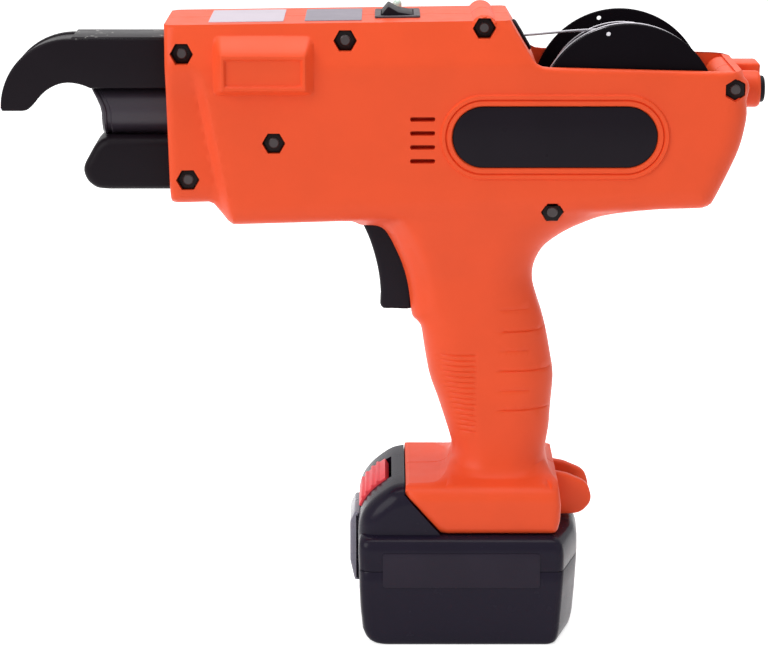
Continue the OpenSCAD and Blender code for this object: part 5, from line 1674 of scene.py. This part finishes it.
@dataclass
class TopControls:
    """Side plates, labels, rocker, lens and rear button.

    Attributes:
        housing: the housing they sit on.
        plate_faces: Y of the near plate's two faces.
        plate_gap: gap between the plate and its bead.
        film: height over the roof and inset of a label's rings.
        front_label: front, rear, half width and corner of the white label.
        rear_label: the same of the grey label.
        bezel: the same of the rocker's frame.
        bezel_rings: height over the roof and inset of the frame's rings.
        rocker: X, height over the roof and rounding of the rocker's corners.
        rocker_half: its half width.
        lens: X and Y of the indicator lens.
        lens_radius: its radius.
        lens_ends: where its stem starts and its dome begins, from the roof.
        cap: the rear button, as X and radius.
    """

    housing: Housing
    plate_faces: Pair = (-27.4, -26.2)
    plate_gap: float = 0.15
    film: Points = ((0.0, 0.0), (0.22, 0.0), (0.3, 0.1))
    front_label: Quad = (-64.6, -37.0, 16.6, 1.2)
    rear_label: Quad = (-29.2, -8.2, 16.2, 0.8)
    bezel: Quad = (-3.4, 13.4, 11.0, 1.0)
    bezel_rings: Points = (
        (-4.0, 1.4), (-0.02, 1.4), (0.0, 0.0), (0.6, 0.0), (0.8, 0.25), (0.8, 2.1), (0.6, 2.4), (-3.2, 2.4),
    )
    rocker: tuple[Triple, ...] = (
        (-0.9, 1.0, 0.5), (1.6, 4.0, 0.8), (5.2, 1.9, 2.4), (10.9, 0.9, 0.5), (10.2, -1.0, 0.3),
        (5.0, -1.5, 1.0), (-0.2, -1.0, 0.3),
    )
    rocker_half: float = 8.2
    lens: Pair = (5.0, 15.0)
    lens_radius: float = 1.7
    lens_ends: Pair = (-2.6, 2.0)
    cap: Points = (
        (135.5, 0.0), (135.5, 5.0), (142.0, 5.0), (142.5, 4.8), (142.8, 4.3), (142.95, 3.2), (143.0, 0.0),
    )

    def slab(self, plan: Quad, levels: Sequence[Pair]) -> Mesh:
        """A flat piece on the roof.

        Args:
            plan: its front, rear, half width and the rounding of its corners.
            levels: height over the roof and inset of each ring.

        Returns:
            The closed mesh.
        """
        x0, x1, half, corner = plan
        flat = rounded([(x0, -half, corner), (x1, -half, corner), (x1, half, corner), (x0, half, corner)], 5)
        rings = []
        for lift, depth in levels:
            ring = inset(flat, depth)
            roof = self.housing.roof_z(np.array([p[0] for p in ring]))
            rings.append([(x, y, float(z) + lift) for (x, y), z in zip(ring, roof)])
        return Mesh().rings(rings)

    def show(self) -> None:
        """Shows every control."""
        body = Body.HOUSING
        self._plate().show("side_name_plates", PLATE_BLACK, body, ["side_plates"])
        self.slab(self.front_label, self.film).show("front_label", WHITE_LABEL, body, ["top_labels"])
        self.slab(self.rear_label, self.film).show("rear_label", GREY_LABEL, body)
        self.slab(self.bezel, self.bezel_rings).show("rocker_frame", BEZEL_GREY, body, ["rocker_bezel"])
        base = float(self.housing.roof_z(np.array([self.lens[0]]))[0])
        wedge = rounded([(x, base + lift, r) for x, lift, r in self.rocker], 4)
        cap = prism(wedge, -self.rocker_half, self.rocker_half, 0.35, 3)
        cap.show("rocker_cap", BLACK_PLASTIC, Body.ROCKER, ["power_rocker"])
        (x, y), r = self.lens, self.lens_radius
        foot, rise = self.lens_ends
        turns = np.linspace(0, math.pi / 2 - 0.02, 10)
        dome = [(foot, 0.0), (foot, r), *((rise + r * math.sin(a), r * math.cos(a)) for a in turns)]
        lathe(dome, (x, y, base), "z", 28).show("lens_dome", LENS, body, ["indicator_lens"])
        button = lathe(self.cap, (0, 0, self.housing.button_z), "x", 32)
        button.show("rear_cap", BLACK_PLASTIC, Body.REAR_BUTTON, ["rear_button"])

    def _plate(self) -> Mesh:
        """Builds the rounded plates on both sides.

        Returns:
            Both plates.
        """
        cx, cz, length, height = self.housing.plate
        r = height / 2 - self.plate_gap
        reach = (length - height) / 2
        turns = np.linspace(-math.pi / 2, math.pi / 2, 24)
        line = []
        for s in (1, -1):
            line += [(cx + s * (reach + r * math.cos(a)), cz + s * r * math.sin(a)) for a in turns]
        plate = prism(line, *self.plate_faces, 0.3, 3)
        return plate.join(plate.mirrored())


@dataclass
class Trigger:
    """The black trigger under the head.

    Attributes:
        outline: its side view.
        half: its half width.
        edge: rounding of its edges.
    """

    outline: Points = (
        (-8.0, 158.0), (-5.6, 152.5), (-3.6, 146.2), (-2.2, 140.0), (-1.5, 134.5), (-1.3, 129.5),
        (-1.5, 127.0), (-0.3, 125.2), (3.0, 125.1), (10.2, 125.1), (11.0, 128.0), (10.9, 132.5), (9.9, 139.0),
        (8.0, 146.2), (6.6, 153.0), (10.5, 158.5), (10.8, 162.0), (7.0, 164.2), (0.0, 163.4), (-5.0, 161.0),
    )
    half: float = 6.5
    edge: float = 1.8

    def show(self) -> None:
        """Shows the trigger."""
        line = smooth_line([*self.outline, self.outline[0]], 1.5)[:-1]
        lever = prism([tuple(p) for p in line], -self.half, self.half, self.edge, 6)
        lever.show("trigger_lever", BLACK_PLASTIC, Body.TRIGGER, ["trigger"], 40)


# Jaw


@dataclass
class Jaw:
    """The hooked upper jaw, the barrel and the lower jaw.

    Attributes:
        hook: X, Z and radius of the hook's back.
        fullness: how far the back swells past that radius.
        tip: the front corner of the hook's tip.
        throat: the inside of the hook, from the arm to the tip.
        rear_x: where every piece ends inside the housing.
        plate_faces: Y of the near plate's two faces.
        core_half: half width of the core between the plates.
        core_inset: how far the core lies inside the plates.
        strip: X, Z and rounding of the corners of the strip on the arm.
        strip_half: its half width.
        line_z: height of the line that the barrel is turned about.
        barrel: the barrel, as X and radius.
        slant: height, and how far the barrel's front leans forward there.
        nose: the front of the lower jaw, from its top to its bottom.
        lower_half: half width of the lower jaw.
        lower_edge: rounding of its edges.
    """

    hook: Triple = (-114.4, 200.6, 28.6)
    fullness: float = 1.1
    tip: Pair = (-142.4, 202.3)
    throat: Points = (
        (-109.4, 210.75), (-111.2, 211.55), (-113.4, 212.25), (-115.8, 212.7), (-118.3, 212.8),
        (-120.9, 212.35), (-123.5, 211.3), (-125.9, 209.8), (-127.7, 208.2), (-129.2, 206.5), (-130.5, 204.9),
        (-131.9, 203.5), (-133.4, 202.5), (-135.2, 202.2),
    )
    rear_x: float = -69.5
    plate_faces: Pair = (-11.0, -7.05)
    core_half: float = 7.0
    core_inset: float = 0.6
    strip: tuple[Triple, ...] = (
        (-116.7, 228.8, 0.2), (-74.0, 228.8, 0.2), (-74.0, 230.0, 0.2), (-115.6, 230.0, 0.5),
    )
    strip_half: float = 10.6
    line_z: float = 201.5
    barrel: Points = (
        (-69.5, 6.5), (-69.5, 9.75), (-101.8, 9.75), (-102.2, 9.3), (-103.4, 9.3), (-103.8, 9.75),
        (-104.6, 9.75), (-105.5, 8.9), (-105.5, 7.0), (-105.0, 6.5), (-69.5, 6.5),
    )
    slant: Points = ((201.5, 0.0), (204.0, 0.6), (207.0, 2.2), (211.25, 5.2))
    nose: Points = (
        (-103.2, 192.6), (-105.8, 191.5), (-108.2, 189.2), (-109.6, 186.9), (-110.9, 184.6), (-112.1, 182.3),
        (-112.6, 180.0), (-112.0, 177.4), (-110.4, 175.0), (-107.4, 173.1), (-103.0, 172.6),
    )
    lower_half: float = 13.0
    lower_edge: float = 3.4

    def outline(self) -> list[Pair]:
        """Draws the side view of the hook and its arm.

        Returns:
            The closed outline.
        """
        hx, hz, hr = self.hook
        tip_x, tip_z = self.tip
        start = math.pi - math.asin((tip_z + 1.0 - hz) / hr)
        turns = np.linspace(start, math.pi / 2, 26)
        radii = [(a, hr + self.fullness * abs(math.sin(2 * a))) for a in turns]
        outer = [(hx + r * math.cos(a), hz + r * math.sin(a)) for a, r in radii]
        inner = [tuple(q) for q in smooth_line(self.throat, 0.8)]
        rear = [(self.rear_x, hz + hr), (self.rear_x, self.throat[0][1])]
        return [(tip_x, tip_z - 0.1), *outer, *rear, *inner]

    def show(self) -> None:
        """Shows the pieces of the jaw."""
        body = Body.HOUSING
        line = self.outline()
        plate = prism(line, *self.plate_faces, 0.8, 3)
        plate.join(plate.mirrored()).show("jaw_plates", JAW_PAINT, body, ["curl_plates"])
        core = prism(inset(line, self.core_inset), -self.core_half, self.core_half, 0.2, 2)
        core.join(prism(rounded(self.strip, 2), -self.strip_half, self.strip_half, 0.3, 2))
        core.show("jaw_core", CORE_STEEL, body, ["curl_core"])
        # The barrel's lighter paint is a painted sheen over the jaw's black paint
        self._barrel().show("jaw_barrel", BARREL_PAINTED_SHEEN, body, ["nose_barrel"])
        nose = smooth_line(self.nose, 0.8)
        side = [(self.rear_x, self.nose[0][1]), *map(tuple, nose), (self.rear_x, self.nose[-1][1])]
        lower = prism(side, -self.lower_half, self.lower_half, self.lower_edge, 5)
        lower.show("jaw_lower", JAW_PAINT, body, ["lower_jaw"])

    def _barrel(self) -> Mesh:
        """Builds the barrel, with its front cut at a slant.

        Returns:
            The closed ring.
        """
        mesh = lathe(self.barrel, (0, 0, self.line_z), "x", 48)
        mesh.faces = mesh.faces[:-2]
        levels, leans = zip(*self.slant)
        for i, (x, y, z) in enumerate(mesh.points):
            if x < -100.0:
                mesh.points[i] = (x - float(np.interp(z, levels, leans)), y, z)
        return mesh


# Spool and wire


@dataclass
class Spool:
    """Two flanges with the wire between them, and the strand to the head.

    Attributes:
        place: X and Z of the axle.
        flange: radius of a flange and of its bore.
        flange_faces: Y of the near flange's two faces.
        rim_hole: distance from the axle, angle in degrees and radius of the hole at the rim.
        drum: half width, inner and outer radius of the wound wire.
        pitch: distance between its turns.
        ripple: height of a turn over the drum.
        loose: Y, shift in X and Z, radius and lean of each loose turn.
        strand: X and Z along the strand, from the nose to the spool.
        wire: radius of the strand and of the loose turns.
        axle: half length and radius of the axle.
        bush: the inlet bush, as distance along the slope's normal and radius.
        bush_place: its middle.
        bush_normal: the slope's normal, in X and Z.
        bush_stretch: how much longer than wide it is.
    """

    place: Pair = (90.0, 203.4)
    flange: Pair = (33.0, 5.1)
    flange_faces: Pair = (-23.0, -21.4)
    rim_hole: Triple = (30.4, 75.0, 0.85)
    drum: Triple = (21.3, 12.0, 25.75)
    pitch: float = 1.02
    ripple: float = 0.45
    loose: tuple[tuple[float, Pair, float, float], ...] = (
        (-20.75, (-0.55, 0.5), 32.6, 0.3), (-20.0, (-1.5, 0.1), 32.0, 0.6), (16.5, (0.2, 0.3), 28.2, 0.5),
    )
    strand: Points = (
        (-86.0, 219.1), (-58.6, 221.3), (0.0, 225.6), (50.3, 229.1), (60.0, 229.9), (72.0, 230.9),
        (82.0, 231.3), (90.0, 231.15),
    )
    wire: Pair = (0.5, 0.3)
    axle: Pair = (26.0, 5.0)
    bush: Points = ((-3.0, 1.4), (0.9, 1.2), (1.3, 1.8), (1.3, 4.3), (0.9, 4.8), (-0.6, 4.9), (-3.0, 4.0))
    bush_place: Pair = (51.0, 229.3)
    bush_normal: Pair = (0.861, 0.509)
    bush_stretch: float = 1.35

    @staticmethod
    def circle(x: float, z: float, r: float, steps: int) -> list[Pair]:
        """Returns the corners of a circle about a place."""
        return arc(x, z, r, np.linspace(0, 2 * math.pi, steps, endpoint=False))

    def disc(self) -> Mesh:
        """Builds the near flange with its bore and its rim hole.

        Returns:
            The closed mesh.
        """
        x, z = self.place
        outer, bore = self.flange
        far, turn, small = self.rim_hole
        hole = (x - far * math.cos(math.radians(turn)), z + far * math.sin(math.radians(turn)))
        rims = [self.circle(x, z, outer, 120), self.circle(x, z, bore, 40), self.circle(*hole, small, 16)]
        return pierced(rims, *self.flange_faces, 0.3)

    def winding(self) -> Mesh:
        """Builds the wound wire, as a rippled drum with a few loose turns over it.

        Returns:
            The closed meshes.
        """
        x, z = self.place
        half, core, wound = self.drum
        pitch = self.pitch
        drum = [(-half, core)]
        for k in range(42):
            y = -half + 0.25 + k * pitch
            waves = [math.sin(math.pi * t / 4) ** 0.7 for t in range(4)]
            drum += [(y + pitch * t / 4, wound + self.ripple * wave) for t, wave in enumerate(waves)]
        drum.append((half, core))
        mesh = lathe([p for p in drum if p[0] <= half], (x, 0, z), "y", 72)
        turns = np.linspace(0, 2 * math.pi, 121)
        for y, (aside, up), r, lean in self.loose:
            ring = arc(x + aside, z + up, r, turns)
            loop = [(px, y + lean * math.sin(a + 1.0), pz) for (px, pz), a in zip(ring, turns)]
            mesh.join(tube(loop, self.wire[1], 8))
        return mesh

    def show(self) -> None:
        """Shows the spool and the strand."""
        x, z = self.place
        disc = self.disc()
        disc.join(disc.mirrored()).show("flanges", SPOOL_BLACK, Body.SPOOL, ["spool_flanges"])
        self.winding().show("wound_wire", BRIGHT, Body.SPOOL, ["wire_core", "wire_winding"])
        path = [(float(px), 0.0, float(pz)) for px, pz in smooth_line(self.strand, 3.0)]
        tube(path, self.wire[0], 10).show("wire_strand", BRIGHT, Body.HOUSING, ["tie_wire"])
        self._bush().show("wire_bush", BLACK_PLASTIC, Body.HOUSING, ["inlet_bush"])
        half, r = self.axle
        bar = [(-half, 0.0), (-half, r), (half, r), (half, 0.0)]
        lathe(bar, (x, 0, z), "y", 32).show("axle", STEEL, Body.HOUSING, ["spool_axle"])

    def _bush(self) -> Mesh:
        """Builds the dark bush in the slope that the strand goes in through.

        Returns:
            The ring, open where it lies in the slope.
        """
        u, v = self.bush_normal
        out, up, across = Vector((u, 0.0, v)), Vector((-v, 0.0, u)), Vector((0, 1, 0))
        middle = Vector((self.bush_place[0], 0.0, self.bush_place[1]))
        turns = np.linspace(0, 2 * math.pi, 32, endpoint=False)
        spokes = [up * math.cos(a) * self.bush_stretch + across * math.sin(a) for a in turns]
        rings = [[tuple(middle + out * along + spoke * r) for spoke in spokes] for along, r in self.bush]
        return Mesh().rings(rings, caps=False)


# Battery


@dataclass
class Battery:
    """The battery with its dome, labels, tab and release button.

    Attributes:
        lower: levels of the lower case: Z, and how far front, rear and sides are set in.
        upper: the same of the upper case.
        ends: X of the front and of the rear corners.
        half: half the width of the case.
        corners: rounding of the front and of the rear corners.
        bow: X past the rear corners, Y and rounding of the bowed rear.
        brow: front of the dome, from its foot to its top.
        hinge: place that the dome's sections shrink towards.
        hinge_reach: least distance from it that counts.
        mouth: the slanted line where the dome meets the foot.
        dome_foot: where the dome starts inside the case.
        dome_flat: half width of the dome before its sides turn down.
        dome_round: radius of those sides.
        pocket: lower and upper Z of the button's pocket.
        pocket_depth: its depth.
        pocket_walls: half widths of the pocket's edge and of its floor.
        rails: half width and lower Z of the two parts of the rail.
        rail_span: its front and rear.
        rail_top: its upper Z.
        tab: X, Z and rounding of the front tab's corners.
        tab_half: its half width.
        label: X, Z and rounding of a side label's corners.
        label_faces: Y of the near label's two faces.
        button: lower and upper Z of the release button.
        button_half: its half width.
        button_levels: its height over the dome and its depth under it.
        rib: height of its ribs, as a share of that height.
        screw: a case screw, as Z and radius.
        screw_places: X of the front and rear screws, and their Y.
    """

    lower: tuple[Quad, ...] = (
        (0.0, 8.0, 4.4, 1.9), (0.2, 6.6, 3.8, 1.2), (0.7, 5.2, 3.1, 0.6), (1.6, 3.9, 2.5, 0.2),
        (3.2, 2.7, 2.0, 0.0), (6.0, 1.6, 1.5, 0.0), (14.0, 0.8, 0.9, 0.0), (22.0, 0.4, 0.4, 0.0),
        (29.3, 0.3, 0.1, 0.0), (29.7, 0.6, 0.3, 0.25), (29.75, 1.2, 0.8, 0.8),
    )
    upper: tuple[Quad, ...] = (
        (29.75, 1.2, 0.8, 0.8), (29.85, 0.6, 0.3, 0.25), (30.3, 0.25, 0.05, 0.0), (36.0, 0.1, 0.1, 0.0),
        (38.4, 0.1, 0.4, 0.15), (40.0, 0.25, 0.9, 0.6), (41.2, 0.5, 1.6, 1.3), (42.1, 0.9, 2.6, 2.4),
        (42.6, 1.6, 4.0, 3.9), (42.7, 2.6, 5.4, 5.4),
    )
    ends: Pair = (-9.8, 67.8)
    half: float = 37.0
    corners: Pair = (5.0, 3.6)
    bow: tuple[Triple, ...] = ((7.1, -14.0, 30.0), (7.8, 0.0, 40.0), (7.1, 14.0, 30.0))
    brow: Points = (
        (-9.8, 43.0), (-9.4, 46.4), (-7.9, 50.4), (-4.9, 54.4), (-0.7, 58.0), (3.4, 60.5), (7.85, 61.6),
    )
    hinge: Pair = (7.5, 44.0)
    hinge_reach: float = 9.0
    mouth: tuple[Pair, Pair] = ((7.85, 58.3), (21.4, 42.9))
    dome_foot: Pair = (-9.8, 37.0)
    dome_flat: float = 24.0
    dome_round: float = 8.0
    pocket: Pair = (46.8, 60.1)
    pocket_depth: float = 6.0
    pocket_walls: Pair = (13.2, 13.15)
    rails: Points = ((17.0, 42.0), (20.0, 47.2))
    rail_span: Pair = (7.6, 62.0)
    rail_top: float = 52.2
    tab: tuple[Triple, ...] = (
        (-9.4, 17.8, 0), (-11.4, 17.8, 1.0), (-13.2, 26.0, 6.0), (-13.2, 41.6, 4.0), (-11.2, 45.8, 1.4),
        (-9.4, 45.8, 0),
    )
    tab_half: float = 13.0
    label: tuple[Triple, ...] = ((-0.4, 23.6, 1.4), (59.2, 23.6, 1.4), (59.2, 37.2, 1.4), (-0.4, 37.2, 1.4))
    label_faces: Pair = (-37.35, -36.5)
    button: Pair = (47.5, 59.4)
    button_half: float = 12.5
    button_levels: Pair = (0.8, -1.8)
    rib: float = 0.9
    screw: Points = ((0.5, 0.0), (0.5, 2.2), (1.6, 2.4), (1.6, 0.0))
    screw_places: Triple = (1.5, 64.9, 26.0)

    def section(self, z: float, front: float, rear: float, side: float) -> list[Triple]:
        """One level of the case.

        Args:
            z: its height.
            front: how far the front is set in.
            rear: how far the rear is set in.
            side: how far the sides are set in.

        Returns:
            The ring at that level.
        """
        x0, x1, y = self.ends[0] + front, self.ends[1] - rear, self.half - side
        ahead, behind = self.corners
        bow = [(x1 + past, across, r) for past, across, r in self.bow]
        line = [(x0, -y, ahead), (x1, -y, behind), *bow, (x1, y, behind), (x0, y, ahead)]
        return [(px, py, z) for px, py in rounded(line, 6)]

    def curve(self, out: float) -> list[Pair]:
        """The front of the dome seen from the side.

        Args:
            out: distance that it is moved outwards.

        Returns:
            The line from its foot to its top.
        """
        line = smooth_line(self.brow, 0.6)
        ahead = np.gradient(line, axis=0)
        ahead /= np.linalg.norm(ahead, axis=1, keepdims=True)
        return [(x - out * v, z + out * u) for (x, z), (u, v) in zip(line, ahead)]

    def dome(self) -> Mesh:
        """Builds the dome in front of the foot, with the pocket of its button.

        Returns:
            The closed mesh.
        """
        front = self.curve(0.0)
        low, high = self.pocket
        sunk = [q if low < p[1] < high else p for p, q in zip(front, self.curve(-self.pocket_depth))]
        flat, r = self.dome_flat, self.dome_round
        turns = np.linspace(math.pi / 2, 0, 9)
        rows = [(-(flat + r * math.sin(a)), r * (1 - math.cos(a)), front) for a in turns]
        edge, floor = self.pocket_walls
        rows += [(-edge, 0.0, front), (-floor, 0.0, sunk)]
        rows += [(-y, depth, line) for y, depth, line in reversed(rows)]
        return Mesh().rings([self._dome_ring(*row) for row in rows])

    def _dome_ring(self, y: float, depth: float, line: Points) -> list[Triple]:
        """One section of the dome.

        Args:
            y: where it lies.
            depth: how far its front is drawn in towards the hinge.
            line: its front before that.

        Returns:
            The closed ring.
        """
        hx, hz = self.hinge
        out = []
        for x, z in [self.dome_foot, *line]:
            share = 1 - depth / max(math.hypot(x - hx, z - hz), self.hinge_reach)
            out.append((hx + (x - hx) * share, y, hz + (z - hz) * share))
        (top_x, top_z), (low_x, low_z) = self.mouth
        level = min(out[-1][2], top_z)
        slant = (low_x - top_x) / (top_z - low_z)
        rear = [(top_x + (top_z - level) * slant, level), (low_x, low_z), (low_x, self.dome_foot[1])]
        return [*out, *((x, y, z) for x, z in rear)]

    def show(self) -> None:
        """Shows the battery."""
        body = Body.BATTERY
        lower = Mesh().rings([self.section(*row) for row in self.lower])
        lower.show("case_lower", GLOSS, body, ["battery_case_lower"], 40)
        upper = Mesh().rings([self.section(*row) for row in self.upper])
        upper.join(self.dome())
        x0, x1 = self.rail_span
        for half, low in self.rails:
            rail = [(x0, low), (x1, low), (x1, self.rail_top), (x0, self.rail_top)]
            upper.join(prism(rail, -half, half, 0.2, 2))
        upper.show("case_upper", GLOSS, body, ["battery_case_upper"], 40)
        prism(rounded(self.tab, 4), -self.tab_half, self.tab_half, 1.4, 4).show("front_tab", TAB, body)
        label = prism(rounded(self.label, 5), *self.label_faces, 0.12, 2)
        label.join(label.mirrored()).show("case_labels", BATTERY_LABEL, body, ["battery_labels"])
        self._button().show("release_pad", RED, Body.RELEASE, ["battery_button"])
        screws = Mesh()
        front, rear, aside = self.screw_places
        for x in (front, rear):
            for y in (-aside, aside):
                screws.join(lathe(self.screw, (x, y, 0), "z", 20))
        screws.show("case_screws", STEEL, body, ["battery_screws"])

    def _button(self) -> Mesh:
        """Builds the release button with its ribs.

        Returns:
            The closed mesh.
        """
        low, high = self.button
        lift, depth = self.button_levels
        lines = zip(self.curve(0.0), self.curve(lift), self.curve(depth))
        outer, lifted, inner = zip(*(row for row in lines if low < row[0][1] < high))
        run = np.array([0.0, *np.cumsum([math.dist(a, b) for a, b in zip(outer, outer[1:])])])
        waves = np.sin(np.clip((run - 2.0) / (run[-1] - 4.0), 0, 1) * 4 * math.pi) ** 2
        ribs = self.rib * (waves > 0.5)
        top = [(x + r * (x - o[0]), z + r * (z - o[1])) for (x, z), o, r in zip(lifted, outer, ribs)]
        return prism([*top, *reversed(inner)], -self.button_half, self.button_half, 0.4, 3)


# Stage


@dataclass(frozen=True)
class Lamp:
    """One soft lamp.

    Attributes:
        name: its name.
        place: where it hangs, in metres.
        size: its width in metres.
        power: its power in watts.
    """

    name: str
    place: Triple
    size: float
    power: float

    def hang(self, target: Triple) -> None:
        """Hangs the lamp.

        Args:
            target: the place it points at, in metres.
        """
        lamp = bpy.data.lights.new(self.name, "AREA")
        lamp.size = self.size
        lamp.energy = self.power
        holder = bpy.data.objects.new(self.name, lamp)
        holder.location = self.place
        aim = Vector(target) - Vector(self.place)
        holder.rotation_euler = aim.to_track_quat("-Z", "Y").to_euler()
        bpy.context.scene.collection.objects.link(holder)


@dataclass
class Stage:
    """Floor, lights, world and camera.

    Attributes:
        eye: place of the camera, in millimetres.
        pitch: how far it looks down, in degrees.
        focal_px: its focal length in pixels of the photograph.
        width_px: the photograph's width.
        sensor: width of the sensor, in millimetres.
        floor_half: half the width of the floor, in metres.
        floor_shade: how much light the floor gives back.
        floor_glow: what it adds for rays that see the background.
        sky: the world's light, and what it adds for those rays.
        target: the place the lamps point at, in metres.
        lamps: the lamps.
    """

    eye: Triple = (0.0, -969.8, 365.3)
    pitch: float = 14.35
    focal_px: float = 2600.0
    width_px: int = 768
    sensor: float = 36.0
    floor_half: float = 6.0
    floor_shade: float = 0.9
    floor_glow: float = 0.7
    sky: Pair = (0.31, 0.69)
    target: Triple = (0.0, 0.0, 0.13)
    lamps: tuple[Lamp, ...] = (
        Lamp("key", (-1.5, -1.3, 1.3), 1.3, 25.0),
        Lamp("fill", (1.5, -1.2, 0.9), 1.5, 2.5),
        Lamp("top", (0.1, 0.2, 1.9), 1.6, 28.0),
    )

    def build(self) -> None:
        """Builds the stage."""
        scene = bpy.context.scene
        scene.view_settings.view_transform = "Standard"
        lens = bpy.data.cameras.new("camera")
        lens.sensor_width = self.sensor
        lens.lens = self.focal_px / self.width_px * lens.sensor_width
        lens.clip_start, lens.clip_end = 0.01, 50.0
        camera = bpy.data.objects.new("camera", lens)
        camera.location = tuple(c * MM for c in self.eye)
        camera.rotation_euler = (math.radians(90 - self.pitch), 0, 0)
        scene.collection.objects.link(camera)
        scene.camera = camera
        self._floor()
        self._world()
        for lamp in self.lamps:
            lamp.hang(self.target)

    def _floor(self) -> None:
        """Lays the pale floor, which keeps a soft shadow."""
        mesh = bpy.data.meshes.new("floor")
        half, shade = self.floor_half, self.floor_shade
        corners = [(-half, -half, 0), (half, -half, 0), (half, half, 0), (-half, half, 0)]
        mesh.from_pydata(corners, [], [(0, 1, 2, 3)])
        graph = Graph(bpy.data.materials.new("floor"))
        surface = graph.node("ShaderNodeBsdfDiffuse", inputs={"Color": (shade, shade, shade, 1)})
        glow = graph.node("ShaderNodeEmission", inputs={"Color": (1, 1, 1, 1), "Strength": self.floor_glow})
        both = graph.node("ShaderNodeAddShader", inputs={0: surface, 1: glow})
        mixed = graph.node("ShaderNodeMixShader", inputs={0: graph.seen(), 1: surface, 2: both})
        graph.node("ShaderNodeOutputMaterial", inputs={"Surface": mixed})
        mesh.materials.append(graph.owner)
        floor = bpy.data.objects.new("floor", mesh)
        bpy.context.scene.collection.objects.link(floor)

    def _world(self) -> None:
        """Sets a white background that lights the tool less than it shows."""
        graph = Graph(bpy.data.worlds.new("world"))
        light, added = self.sky
        strength = light + added * graph.seen()
        sky = graph.node("ShaderNodeBackground", inputs={"Color": (1, 1, 1, 1), "Strength": strength})
        graph.node("ShaderNodeOutputWorld", inputs={"Surface": sky})
        bpy.context.scene.world = graph.owner


def dress_inner(frame: dict) -> None:
    """Gives every CAD node that still shows the finish of its slot.
    """
    slots = {entry["node"]: entry["material_slot"] for entry in frame["record"]["subparts"]}
    made: dict[str, bpy.types.Material] = {}
    for node, piece in frame["nodes"].items():
        if piece.hide_render:
            continue
        slot = slots[node]
        if slot not in made:
            made[slot] = INNER_FINISHES[slot].material("inner_" + slot)
        piece.data.materials.clear()
        piece.data.materials.append(made[slot])
        LOG.info("%s keeps its CAD shape", node)


def main() -> None:
    """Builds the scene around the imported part."""
    logging.basicConfig(level=logging.INFO, format="%(message)s")
    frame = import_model()
    Stage().build()
    housing = Housing()
    housing.show()
    Fasteners(housing).show()
    TopControls(housing).show()
    Trigger().show()
    Jaw().show()
    Spool().show()
    Battery().show()
    dress_inner(frame)


if __name__ == "__main__":
    main()
